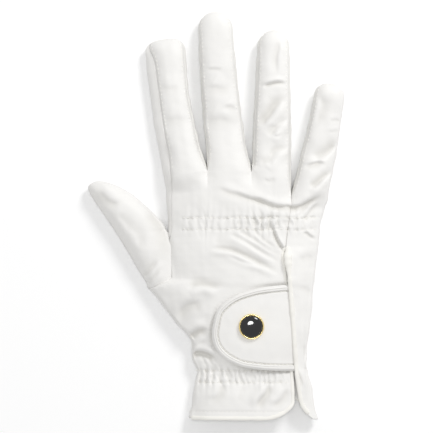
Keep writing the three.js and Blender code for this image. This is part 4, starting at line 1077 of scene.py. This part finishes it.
# The closure tab
def tab_plan(along, across):
    """A point of the tab's plan from its shares: along from root to nose, and across from -0.5 to 0.5."""
    middle, height = -(TAB_TOP + TAB_BOTTOM) / 2 * HAND_LENGTH, (TAB_BOTTOM - TAB_TOP) * HAND_LENGTH
    y = middle + across * height
    return np.stack([vent_x(down_of(y), 2) + TAB_OVERLAP - along * TAB_LENGTH, y], -1)


def tab_clear(x, y):
    """0 at the tab's root, under the side strip, and 1 where the tab is clear of it."""
    return step((vent_x(down_of(y), 2) + TAB_OVERLAP - x) / TAB_LENGTH, 0.1, 0.36)


def tab_under(x, y):
    """Height of the tab's underside: it comes out low from under the side strip and settles on the back."""
    return hand_top(x, y) + TAB_LIFT + TAB_RISE * tab_clear(x, y)


def tab_wall(x, y):
    """Thickness of the tab, which is thinner at its root."""
    return TAB_ROOT_THICKNESS + (TAB_THICKNESS - TAB_ROOT_THICKNESS) * tab_clear(x, y)


def tab_outline():
    """The tab's free edge, from its upper root round the nose to its lower root."""
    top = TAB[:, :2]
    nose = np.array([(1.014, -0.03), (1.02, -0.09), (1.014, -0.15)])
    bottom = TAB[::-1][:, [0, 2]]
    shares = np.concatenate([top, nose, bottom])
    return resample(tab_plan(shares[:, 0], shares[:, 1]), 0.7)


def tab_sheets():
    """The tab in rings from its edge to its middle line: a rolled border 3 mm wide, a stitched groove
    inside it and a slightly filled middle. The edge is half round, and the underside closes it."""
    sizes = sizes_now()
    width, rise = sizes.border_width * METRE, sizes.border_rise * METRE
    edge = tab_outline()
    x0, x1 = edge[:, 0].max() - 1e-6, edge[:, 0].min()
    along = np.clip((x0 - edge[:, 0]) / (x0 - x1), 0, 1)
    spine_x = x0 - np.minimum(along, 0.62 + 0.06 * along) * (x0 - x1)
    spine_y = np.interp(spine_x, [x1, x0], [edge[:, 1].mean() - 0.5, (edge[0, 1] + edge[-1, 1]) / 2])
    spine = np.stack([spine_x, spine_y], -1)
    span = np.linalg.norm(spine - edge, axis=1)
    e = np.concatenate([np.linspace(0, 4.4, 23), 4.4 + np.linspace(0, 1, 22)[1:] ** 1.3 * 30])
    q = np.clip(e[None, :] / span[:, None], 0, 1)
    place = edge[:, None] + (spine - edge)[:, None] * q[..., None]
    e = q * span[:, None]
    x, y = place[..., 0], place[..., 1]
    under, wall = tab_under(x, y), tab_wall(x, y)
    roll = np.sqrt(np.clip(1 - ((e - width / 2) / (width / 2)) ** 2, 0, 1)) * (e < width)
    top = rise * roll
    top -= 0.42 * bell(e - width * 0.58, 0.24)
    top -= 0.62 * bell(e - width - BORDER_GROOVE, 0.42)
    top += 0.35 * step(e, width + 0.4, width + 9)
    top += 0.12 * waves(x, y, 22, 41) * step(e, 3, 8) + 0.05 * waves(x, y, 7, 42)
    # Painted shade in the groove inside the border and in the stitched groove
    hollow = np.maximum(0.9 * bell(e - width - BORDER_GROOVE, 0.45), 0.5 * bell(e - width * 0.56, 0.3))
    z = under + wall + top - 0.35 * (1 - step(e, 0, 0.9))
    upper = sheet(x, y, z, hollow)
    out = edge - spine
    out /= np.linalg.norm(out, axis=1, keepdims=True)
    turn = np.linspace(0, np.pi, 9)
    middle_z = (upper[:, 0, 2] + under[:, 0]) / 2
    half = (upper[:, 0, 2] - under[:, 0]) / 2
    round_xy = edge[:, None] + out[:, None] * (0.45 * np.sin(turn))[None, :, None]
    round_z = middle_z[:, None] + half[:, None] * np.cos(turn)
    # Painted shade round the half-round edge, darker towards the underside
    side = sheet(round_xy[..., 0], round_xy[..., 1], round_z, (0.5 * turn / np.pi)[None, :])
    side[:, 0] = upper[:, 0]
    inner = np.concatenate([(edge - out * 3), middle_z[:, None]], 1)[:, None]
    low = edge[:, None] + (spine - edge)[:, None] * np.linspace(0, 1, 9)[None, :, None]
    # Painted shade on the underside
    bottom = sheet(low[..., 0], low[..., 1], tab_under(low[..., 0], low[..., 1]), 0.3)
    bottom[:, 0] = side[:, -1]
    return [
        facing(upper, far_from(upper, -FAR)),
        facing(side, between_rows(inner, len(turn) - 1)),
        facing(bottom, far_from(bottom, FAR)),
    ]


# The dome snap
def snap_seat():
    """Middle of the snap on the tab, and the direction that it faces."""
    place = tab_plan(np.array(BUTTON_ALONG), np.array(BUTTON_ACROSS))
    x, y, r = place[0], place[1], SNAP_RADIUS
    slope_x = (hand_top(x + r, y) - hand_top(x - r, y)) / (2 * r)
    slope_y = (hand_top(x, y + r) - hand_top(x, y - r)) / (2 * r)
    up = np.array([-slope_x, -slope_y, 1.0])
    top = hand_top(x, y) + SNAP_LIFT + TAB_THICKNESS
    return np.array([x, y, float(top)]), up / np.linalg.norm(up)


def turned(profile, segments=96):
    """A profile of radius and height turned round the snap's axis."""
    seat, up = snap_seat()
    side = np.cross([0, 1.0, 0], up)
    side /= np.linalg.norm(side)
    other = np.cross(up, side)
    angle = np.linspace(0, 2 * np.pi, segments + 1)
    angle[-1] = 0
    r, h = np.array(profile, float).T
    ring = np.cos(angle)[None, :, None] * side + np.sin(angle)[None, :, None] * other
    points = seat + r[:, None, None] * ring + h[:, None, None] * up
    inner = seat + h.mean() * up
    if r.min() > 0:
        inner = inner + r.mean() * (ring[:, :-1] + ring[:, 1:]) / 2
    return [facing(sheet(*np.moveaxis(points, -1, 0)), inner)]


# Stitches
def stitches(path, pitch, length, radius):
    """Threads along a path: each is a low six-sided stick, arched so that both ends dive into the leather."""
    way = run_length(path)
    at = np.arange(pitch / 2, way[-1], pitch)
    place = np.stack([np.interp(at, way, path[:, k]) for k in range(3)], -1)
    ahead = np.stack([np.interp(at + 0.4, way, path[:, k]) for k in range(3)], -1)
    behind = np.stack([np.interp(at - 0.4, way, path[:, k]) for k in range(3)], -1)
    run = ahead - behind
    run /= np.maximum(np.linalg.norm(run, axis=1, keepdims=True), 1e-6)
    across = np.cross([0, 0, 1.0], run)
    across /= np.linalg.norm(across, axis=1, keepdims=True)
    over = np.cross(run, across)
    across = np.cross(over, run)
    ring_at = np.array([-0.5, -0.4, -0.15, 0.15, 0.4, 0.5])
    ring_r = np.array([0.45, 0.95, 1.0, 1.0, 0.95, 0.45])
    turn = np.linspace(0, 2 * np.pi, 7)[:-1]
    sink = -1.5 * radius * (2 * np.abs(ring_at)) ** 3
    local_run = ring_at[:, None] * length * np.ones(6)
    local_side = ring_r[:, None] * radius * np.cos(turn)
    local_up = ring_r[:, None] * radius * 0.8 * np.sin(turn) + sink[:, None]
    points = (
        place[:, None, None]
        + run[:, None, None] * local_run[None, ..., None]
        + across[:, None, None] * local_side[None, ..., None]
        + over[:, None, None] * local_up[None, ..., None]
    )
    count = len(place)
    ids = np.arange(count * 36).reshape(count, 6, 6)
    a, b = ids[:, :-1], ids[:, 1:]
    quads = np.stack([a, np.roll(a, -1, 2), np.roll(b, -1, 2), b], -1).reshape(-1, 4)
    caps = np.concatenate([ids[:, 0, ::-1], ids[:, -1]])
    return points.reshape(-1, 3), quads, caps


def joined(rows):
    """One mesh from several rows of stitches."""
    base = np.cumsum([0] + [len(points) for points, _, _ in rows])
    quads = np.concatenate([row[1] + start for row, start in zip(rows, base)])
    caps = np.concatenate([row[2] + start for row, start in zip(rows, base)])
    return np.concatenate([row[0] for row in rows]), quads.tolist() + caps.tolist()


# Materials
def nodes_of(name):
    """A new material, its node tree and its shader."""
    material = bpy.data.materials.new(name)
    material.use_nodes = True
    tree = material.node_tree
    shader = tree.nodes["Principled BSDF"]
    return material, tree, shader


def leather_grain():
    """Shared group. Pebbled grain: the height is cells of about the given size softened by noise, and the
    mottle is a slow cloud. Both come from the piece's own place."""
    name = "Leather grain"
    if name in bpy.data.node_groups:
        return bpy.data.node_groups[name]
    group = bpy.data.node_groups.new(name, "ShaderNodeTree")
    cells_in = group.interface.new_socket("Cells per metre", in_out="INPUT", socket_type="NodeSocketFloat")
    cells_in.default_value = 1400
    group.interface.new_socket("Height", in_out="OUTPUT", socket_type="NodeSocketFloat")
    group.interface.new_socket("Mottle", in_out="OUTPUT", socket_type="NodeSocketFloat")
    n, link = group.nodes, group.links.new
    start, end = n.new("NodeGroupInput"), n.new("NodeGroupOutput")
    where = n.new("ShaderNodeTexCoord")
    cells = n.new("ShaderNodeTexVoronoi")
    cells.feature = "SMOOTH_F1"
    cells.inputs["Smoothness"].default_value = 0.6
    noise = n.new("ShaderNodeTexNoise")
    noise.inputs["Scale"].default_value = 420
    noise.inputs["Detail"].default_value = 3
    cloud = n.new("ShaderNodeTexNoise")
    cloud.inputs["Scale"].default_value = 38
    cloud.inputs["Detail"].default_value = 4
    blend = n.new("ShaderNodeMix")
    blend.inputs["Factor"].default_value = 0.45
    link(where.outputs["Object"], cells.inputs["Vector"])
    link(where.outputs["Object"], noise.inputs["Vector"])
    link(where.outputs["Object"], cloud.inputs["Vector"])
    link(start.outputs["Cells per metre"], cells.inputs["Scale"])
    link(cells.outputs["Distance"], blend.inputs["A"])
    link(noise.outputs["Fac"], blend.inputs["B"])
    link(blend.outputs["Result"], end.inputs["Height"])
    link(cloud.outputs["Fac"], end.inputs["Mottle"])
    return group


def mixed(tree, factor, a, b):
    """A mix of two colours, each a socket or a colour."""
    node = tree.nodes.new("ShaderNodeMix")
    node.data_type = "RGBA"
    sockets = [s for s in node.inputs if s.name in ("A", "B") and s.type == "RGBA"]
    for socket, value in zip(sockets, (a, b)):
        if isinstance(value, bpy.types.NodeSocket):
            tree.links.new(value, socket)
        else:
            socket.default_value = (*value, 1)
    tree.links.new(factor, node.inputs["Factor"])
    return next(s for s in node.outputs if s.type == "RGBA")


def ranged(tree, value, low, high, start=0.0, end=1.0):
    """A value moved from one range to another."""
    node = tree.nodes.new("ShaderNodeMapRange")
    node.inputs["From Min"].default_value = start
    node.inputs["From Max"].default_value = end
    node.inputs["To Min"].default_value = low
    node.inputs["To Max"].default_value = high
    tree.links.new(value, node.inputs["Value"])
    return node.outputs["Result"]


def bumped(tree, shader, height, strength, distance):
    """Fine relief: a height bends the shader's normal."""
    node = tree.nodes.new("ShaderNodeBump")
    node.inputs["Strength"].default_value = strength
    node.inputs["Distance"].default_value = distance
    tree.links.new(height, node.inputs["Height"])
    tree.links.new(node.outputs["Normal"], shader.inputs["Normal"])


def leather(name, colour, cells=1400, bump=0.25, rough=(0.5, 0.66), shade=0.8):
    """White leather: pebbled grain, slow mottling, and painted shade, warmer and darker, down in folds and
    seams.
    """
    if name in bpy.data.materials:
        return bpy.data.materials[name]
    material, tree, shader = nodes_of(name)
    grain = tree.nodes.new("ShaderNodeGroup")
    grain.node_tree = leather_grain()
    grain.inputs["Cells per metre"].default_value = cells
    # The attribute holding the painted shade of folds, seams and grooves
    shade_node = tree.nodes.new("ShaderNodeAttribute")
    shade_node.attribute_name = "hollow"
    light = [min(1, c * 1.015) for c in colour]
    dark = [c * 0.975 for c in colour]
    mottled = mixed(tree, ranged(tree, grain.outputs["Mottle"], 0, 1, 0.3, 0.7), dark, light)
    # Painted shade colour: the leather darker and warmer, mixed in by that attribute
    shade_colour = [colour[0] * shade, colour[1] * shade * 0.99, colour[2] * shade * 0.955]
    whole = mixed(tree, ranged(tree, shade_node.outputs["Fac"], 0, 0.75), mottled, shade_colour)
    tree.links.new(whole, shader.inputs["Base Color"])
    tree.links.new(ranged(tree, grain.outputs["Mottle"], *rough, 0.3, 0.7), shader.inputs["Roughness"])
    bumped(tree, shader, grain.outputs["Height"], bump, 0.00025)
    shader.inputs["Specular IOR Level"].default_value = 0.4
    return material


def plain(name, colour, rough, metal=0.0, coat=0.0, scale=900, bump=0.04, spread=0.06):
    """Smooth finishes, each with a faint cloud in its colour and roughness and a very fine bump."""
    if name in bpy.data.materials:
        return bpy.data.materials[name]
    material, tree, shader = nodes_of(name)
    where = tree.nodes.new("ShaderNodeTexCoord")
    noise = tree.nodes.new("ShaderNodeTexNoise")
    noise.inputs["Scale"].default_value = scale
    noise.inputs["Detail"].default_value = 4
    tree.links.new(where.outputs["Object"], noise.inputs["Vector"])
    dark, light = [c * (1 - spread) for c in colour], [min(1, c * (1 + spread)) for c in colour]
    tree.links.new(mixed(tree, noise.outputs["Fac"], dark, light), shader.inputs["Base Color"])
    dull = ranged(tree, noise.outputs["Fac"], rough * 0.85, rough * 1.15, 0.3, 0.7)
    tree.links.new(dull, shader.inputs["Roughness"])
    bumped(tree, shader, noise.outputs["Fac"], bump, 0.0001)
    shader.inputs["Metallic"].default_value = metal
    if coat:
        shader.inputs["Coat Weight"].default_value = coat
        shader.inputs["Coat Roughness"].default_value = 0.03
    return material


class GloveSizes(bpy.types.PropertyGroup):
    knuckle_x: bpy.props.FloatProperty(
        name="Knuckle line X", description="Middle of the knuckle line in the frame", default=0.018397,
        unit="LENGTH", precision=5)
    knuckle_y: bpy.props.FloatProperty(
        name="Knuckle line Y", description="Middle of the knuckle line in the frame", default=0.024130,
        unit="LENGTH", precision=5)
    leather_wall: bpy.props.FloatProperty(
        name="Leather thickness", description="Thickness of the panels", default=0.0009,
        unit="LENGTH", precision=5)
    seam_depth: bpy.props.FloatProperty(
        name="Seam depth", description="How far the panels roll in at a seam", default=0.00034, unit="LENGTH",
        precision=5)
    crease_depth: bpy.props.FloatProperty(
        name="Crease depth", description="Depth of the creases, 1 as worn", default=1.0,
        subtype="FACTOR", max=2)
    gather_height: bpy.props.FloatProperty(
        name="Gather height", description="Height of the puckers, 1 as sewn", default=1.0,
        subtype="FACTOR", max=2)
    softness: bpy.props.FloatProperty(
        name="Softness", description="Swell of the soft leather, 1 as worn", default=1.0,
        subtype="FACTOR", max=2)
    border_width: bpy.props.FloatProperty(
        name="Tab border width", description="Width of the rolled border of the tab", default=0.003,
        unit="LENGTH", precision=5)
    border_rise: bpy.props.FloatProperty(
        name="Tab border height", description="Height of the rolled border over the tab", default=0.0009,
        unit="LENGTH", precision=5)
    stitch_length: bpy.props.FloatProperty(
        name="Stitch length", description="Length of one stitch", default=0.0017, unit="LENGTH", precision=5)
    stitch_pitch: bpy.props.FloatProperty(
        name="Stitch spacing", description="Distance between stitches", default=0.0026,
        unit="LENGTH", precision=5)
    thread: bpy.props.FloatProperty(
        name="Thread thickness", description="Diameter of the thread", default=0.00042,
        unit="LENGTH", precision=5)


class GloveColours(bpy.types.PropertyGroup):
    leather: bpy.props.FloatVectorProperty(
        name="Leather", description="Colour of the panels", default=(0.84, 0.83, 0.81),
        subtype="COLOR", min=0, max=1)
    # A little darker than the panels' leather: painted shade of the slots between the fingers
    fourchette: bpy.props.FloatVectorProperty(
        name="Fourchettes", description="Colour of the strips between the fingers",
        default=(0.82, 0.812, 0.785), subtype="COLOR", min=0, max=1)
    binding: bpy.props.FloatVectorProperty(
        name="Bindings", description="Colour of the bound edges", default=(0.88, 0.865, 0.82),
        subtype="COLOR", min=0, max=1)
    thread: bpy.props.FloatVectorProperty(
        name="Thread", description="Colour of the stitching", default=(0.88, 0.865, 0.82),
        subtype="COLOR", min=0, max=1)
    dome: bpy.props.FloatVectorProperty(
        name="Snap dome", description="Colour of the enamel", default=(0.008, 0.008, 0.009),
        subtype="COLOR", min=0, max=1)
    rim: bpy.props.FloatVectorProperty(
        name="Snap rim", description="Colour of the plated rim", default=(0.95, 0.76, 0.36),
        subtype="COLOR", min=0, max=1)
    floor: bpy.props.FloatVectorProperty(
        name="Floor", description="Colour of the floor", default=(0.99, 0.99, 0.99),
        subtype="COLOR", min=0, max=1)


def panel_leather():
    """The leather of the back, the side and the thumb."""
    return leather("White leather", tuple(colours_now().leather))


class GLOVE_OT_back(bpy.types.Operator):
    """Back of the hand with the backs of three fingers, its creases and its gathers"""

    bl_idname = "glove.back"
    bl_label = "Back panel"

    def execute(self, context):
        fingers, hand = back_sheets()
        grids = [facing(grid, far_from(grid, -FAR)) for grid in [hand, *fingers]]
        wall = sizes_now().leather_wall
        piece("Back_panel", *weld(grids), panel_leather(), "leather", ["back_panel"], wall)
        return {"FINISHED"}


class GLOVE_OT_side(bpy.types.Operator):
    """Back of the little finger with the strip down the little side and its wall"""

    bl_idname = "glove.side"
    bl_label = "Side panel"

    def execute(self, context):
        grids = []
        for grid in side_sheets():
            inner = grid[..., :3].mean(1, keepdims=True) * [1, 1, 0] + [-3, 0, -20]
            grids.append(facing(grid, between_rows(inner, grid.shape[1] - 1)))
        wall = sizes_now().leather_wall
        piece("Side_panel", *weld(grids), panel_leather(), "leather", ["side_panel"], wall)
        return {"FINISHED"}


class GLOVE_OT_palm(bpy.types.Operator):
    """Palm with the palm sides of the fingers and the wall on the index side"""

    bl_idname = "glove.palm"
    bl_label = "Palm panel"

    def execute(self, context):
        fingers, hand, wall, side = palm_sheets()
        grids = [facing(grid, far_from(grid, FAR)) for grid in [hand, *fingers]]
        for grid in (wall, side):
            inner = grid[..., :3].mean(1, keepdims=True) + [12, 0, 0]
            grids.append(facing(grid, between_rows(inner, grid.shape[1] - 1)))
        material = leather("White palm leather", tuple(colours_now().leather), cells=1150, bump=0.32)
        piece("Palm_panel", *weld(grids), material, "leather", ["palm_panel"], sizes_now().leather_wall)
        return {"FINISHED"}


class GLOVE_OT_fourchettes(bpy.types.Operator):
    """Forked strips between the fingers"""

    bl_idname = "glove.fourchettes"
    bl_label = "Fourchettes"

    def execute(self, context):
        # The fourchettes' darker colour is painted shade of the slots between the fingers
        material = leather("White fourchette leather", tuple(colours_now().fourchette), rough=(0.6, 0.75))
        for k in (1, 2, 3):
            grids = []
            for finger, side in ((FINGER[k - 1], 1), (FINGER[k], -1)):
                along = finger.rows(FORK_PITCH)
                grid = finger.wall(along, side, starts(k))
                inner = np.concatenate([finger.middle(along), np.full((len(along), 1), 6.0)], 1)[:, None]
                grids.append(facing(grid, between_rows(inner, len(WALL_T) - 1)))
            names = FINGER[k - 1].name, FINGER[k].name
            piece("Fourchette_%s_%s" % names, *weld(grids), material, "fourchette",
                  ["fourchette_%s_%s" % names], sizes_now().leather_wall)
        return {"FINISHED"}


class GLOVE_OT_thumb(bpy.types.Operator):
    """The thumb's two sheets, sewn together along its outline"""

    bl_idname = "glove.thumb"
    bl_label = "Thumb"

    def execute(self, context):
        for upper, name, node, height in (
            (True, "Thumb_upper", "thumb_upper", -FAR),
            (False, "Thumb_lower", "thumb_lower", FAR),
        ):
            grid = thumb_sheet(upper)
            grids = [facing(grid, far_from(grid, height))]
            piece(name, *weld(grids), panel_leather(), "leather", [node], sizes_now().leather_wall)
        return {"FINISHED"}


class GLOVE_OT_bindings(bpy.types.Operator):
    """Bound edges of the vent, the cuff, the side strip and the palm"""

    bl_idname = "glove.bindings"
    bl_label = "Bindings"

    def execute(self, context):
        cream = tuple(colours_now().binding)
        material = leather("Cream binding leather", cream, cells=1700, bump=0.18, rough=(0.45, 0.6))
        sunk = [0, 0, -BINDING_SINK]
        _, hand = back_sheets()
        vent, hem = hand[DOWN > 0.292][:, -1, :3] + sunk, hand[-1, ::-1, :3] + sunk
        corner = resample(np.concatenate([vent[::2], hem[1::3]]), BINDING_PITCH)
        grids = band(corner, sideways(corner, -1), 2.5, 1.75, 0.06, 51)
        piece("Vent_and_cuff_binding", *weld(grids), material, "binding", ["vent_and_cuff_binding"])
        _, strip = side_sheets()
        edge = resample((strip[DOWN > 0.288][:, 0, :3] + sunk)[::4], BINDING_PITCH)
        bulge = 0.9 * bell(down_of(edge[:, 1]) - 0.34, 0.035)
        grids = band(edge, sideways(edge, 1), 2.6, 1.8, 0.08, 52, bulge)
        piece("Side_binding", *weld(grids), material, "binding", ["side_binding"])
        _, palm, _, _ = palm_sheets()
        low = resample(palm[-1, 8:-8, :3] + [0, 0, 0.7], 0.8)
        grids = band(low, sideways(low, 1), 2.3, 1.4, 0.05, 53)
        piece("Palm_binding", *weld(grids), material, "binding", ["palm_binding"])
        return {"FINISHED"}


class GLOVE_OT_tab(bpy.types.Operator):
    """Closure tab with its rolled border"""

    bl_idname = "glove.tab"
    bl_label = "Closure tab"

    def execute(self, context):
        white = tuple(colours_now().leather)
        material = leather("White tab leather", white, cells=1500, bump=0.16, rough=(0.45, 0.58))
        piece("Closure_tab", *weld(tab_sheets()), material, "leather", ["closure_tab", "tab_binding"])
        return {"FINISHED"}


class GLOVE_OT_snap(bpy.types.Operator):
    """Dome snap: a bare black enamel dome in a gold rim"""

    bl_idname = "glove.snap"
    bl_label = "Dome snap"

    def execute(self, context):
        turn = np.radians(np.linspace(0, 90, 22))
        dome = [(0, 1.35), (3, 1.35), (6.3, 1.35), (6.55, 1.45)]
        dome += [(SNAP_RADIUS * np.cos(a) ** 0.72, 1.75 + 2.0 * np.sin(a)) for a in turn[:-1]] + [(0, 3.75)]
        enamel = plain("Black enamel", tuple(colours_now().dome), 0.07, coat=0.6)
        piece("Snap_dome", *weld(turned(dome)), enamel, "dome", ["button_dome"])
        angle = np.radians(np.linspace(-90, 270, 29))
        ring = [(7.05 + 0.55 * np.cos(a), 1.25 + 0.95 * np.sin(a)) for a in angle]
        gold = plain("Polished gold", tuple(colours_now().rim), 0.2, metal=1.0)
        piece("Snap_rim", *weld(turned(ring, 128)), gold, "rim", ["button_rim"])
        return {"FINISHED"}


class GLOVE_OT_hidden(bpy.types.Operator):
    """Finishes of the hook patch and the snap's post, which keep their CAD shapes"""

    bl_idname = "glove.hidden"
    bl_label = "Hook patch and post"

    def execute(self, context):
        for node, material in (
            ("hook_patch", plain("Napped hook fabric", (0.8, 0.8, 0.76), 0.9, scale=2600, bump=0.7)),
            ("button_post", plain("Plain steel", (0.62, 0.63, 0.64), 0.35, metal=1.0)),
        ):
            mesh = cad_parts[node].data
            mesh.materials.clear()
            mesh.materials.append(material)
        return {"FINISHED"}


def on_hand(x, y, lift=0.05):
    """Points on the hand's upper side, with its relief."""
    x, y = np.asarray(x, float), np.asarray(y, float)
    return np.stack([x, y, hand_top(x, y) + relief(x, y)[0] + lift], -1)


class GLOVE_OT_stitches(bpy.types.Operator):
    """Stitching of the gathers, the finger seams, the tab and the hem"""

    bl_idname = "glove.stitches"
    bl_label = "Stitches"

    def execute(self, context):
        sizes = sizes_now()
        pitch, length = sizes.stitch_pitch * METRE, sizes.stitch_length * METRE
        radius = sizes.thread * METRE / 2
        thread = plain("Waxed thread", tuple(colours_now().thread), 0.6, scale=3000, bump=0.5)
        rows = []
        for upper, lower, *_, xs, _ in GATHERS:
            for level in (upper, lower):
                x = np.linspace(xs[0], xs[-1], 400)
                rows.append(stitches(on_hand(x, level + 0.12 * np.sin(x), 0.12), 2.9, 1.9, radius * 1.1))
        piece("Gather_stitches", *joined(rows), thread, "binding")
        rows = []
        for n in range(4):
            grid = finger_back(n, 0.5)[..., :3]
            for inner, stop, way in ((4, -5, 1), (-5, 4, -1))[: 1 if n == 3 else 2]:
                line = np.concatenate([grid[8:, inner], grid[-6, inner:stop:way]])
                rows.append(stitches(line[:-2] + [0, 0, 0.02], pitch, length, radius))
        piece("Finger_stitches", *joined(rows), thread, "binding")
        edge = tab_outline()
        centre = edge.mean(0)
        inside = edge - sideways(edge, 1) * (sizes.border_width * METRE + BORDER_GROOVE)
        if np.linalg.norm(inside - centre, axis=1).mean() > np.linalg.norm(edge - centre, axis=1).mean():
            inside = edge + sideways(edge, 1) * (sizes.border_width * METRE + BORDER_GROOVE)
        inside = inside[8:-8]
        z = tab_under(inside[:, 0], inside[:, 1]) + tab_wall(inside[:, 0], inside[:, 1]) - 0.2
        tab = stitches(np.concatenate([inside, z[:, None]], 1), pitch, length, radius)
        x = np.linspace(-35, 12, 200)
        hem = stitches(on_hand(x, np.full(200, HEM_STITCHES), 0.0), pitch, length, radius)
        piece("Tab_and_hem_stitches", *joined([tab, hem]), thread, "binding")
        return {"FINISHED"}


def lamp(name, place, size, power):
    """A round lamp that looks at the origin."""
    data = bpy.data.lights.new(name, "AREA")
    data.shape, data.size, data.energy = "DISK", size, power
    light = bpy.data.objects.new(name, data)
    bpy.context.scene.collection.objects.link(light)
    light.location = place
    x, y, z = -np.array(place)
    light.rotation_euler = (np.arctan2(np.hypot(x, y), -z), 0, np.arctan2(y, x) - np.pi / 2)


class GLOVE_OT_stage(bpy.types.Operator):
    """Pale floor, soft light and the camera of the photograph"""

    bl_idname = "glove.stage"
    bl_label = "Floor, light and camera"

    def execute(self, context):
        scene = context.scene
        mesh = bpy.data.meshes.new("Floor")
        corners = [(x, y, -0.0001) for x, y in ((-3, -3), (3, -3), (3, 3), (-3, 3))]
        mesh.from_pydata(corners, [], [(0, 1, 2, 3)])
        pale = tuple(colours_now().floor)
        mesh.materials.append(plain("Pale floor", pale, 0.85, scale=60, bump=0.0, spread=0.004))
        floor = bpy.data.objects.new("Floor", mesh)
        scene.collection.objects.link(floor)
        lamp("Key light", (0.75, 1.05, 0.95), 0.5, 10.5)
        lamp("Top light", (0.0, 0.05, 1.9), 0.45, 9.5)
        world = bpy.data.worlds.new("Soft room")
        world.use_nodes = True
        background = world.node_tree.nodes["Background"]
        background.inputs["Color"].default_value = (1, 1, 1, 1)
        background.inputs["Strength"].default_value = 0.54
        scene.world = world
        scene.view_settings.view_transform = "Standard"
        lens = bpy.data.cameras.new("Camera")
        lens.sensor_width = SENSOR
        lens.lens = SENSOR * DISTANCE / SEEN_WIDTH
        camera = bpy.data.objects.new("Camera", lens)
        camera.location = (0.0004, -0.0002, 2.0)
        scene.collection.objects.link(camera)
        scene.camera = camera
        return {"FINISHED"}


PIECES = [
    GLOVE_OT_back, GLOVE_OT_side, GLOVE_OT_palm, GLOVE_OT_fourchettes, GLOVE_OT_thumb, GLOVE_OT_bindings,
    GLOVE_OT_tab, GLOVE_OT_snap, GLOVE_OT_hidden, GLOVE_OT_stitches, GLOVE_OT_stage,
]


class GLOVE_PT_pieces(bpy.types.Panel):
    """Sizes, colours and the pieces of the glove"""

    bl_idname = "GLOVE_PT_pieces"
    bl_label = "Riding glove"
    bl_space_type = "VIEW_3D"
    bl_region_type = "UI"
    bl_category = "Glove"

    def draw(self, context):
        layout = self.layout
        for group in (context.scene.glove_sizes, context.scene.glove_colours):
            column = layout.column()
            for name in group.__annotations__:
                column.prop(group, name)
        column = layout.column()
        for operator in PIECES:
            column.operator(operator.bl_idname)


CLASSES = [GloveSizes, GloveColours, *PIECES, GLOVE_PT_pieces]


def register():
    for cls in CLASSES:
        bpy.utils.register_class(cls)
    bpy.types.Scene.glove_sizes = bpy.props.PointerProperty(type=GloveSizes)
    bpy.types.Scene.glove_colours = bpy.props.PointerProperty(type=GloveColours)


def unregister():
    del bpy.types.Scene.glove_sizes
    del bpy.types.Scene.glove_colours
    for cls in reversed(CLASSES):
        bpy.utils.unregister_class(cls)


def main():
    register()
    for operator in PIECES:
        family, name = operator.bl_idname.split(".")
        getattr(getattr(bpy.ops, family), name)()


if __name__ == "__main__":
    main()
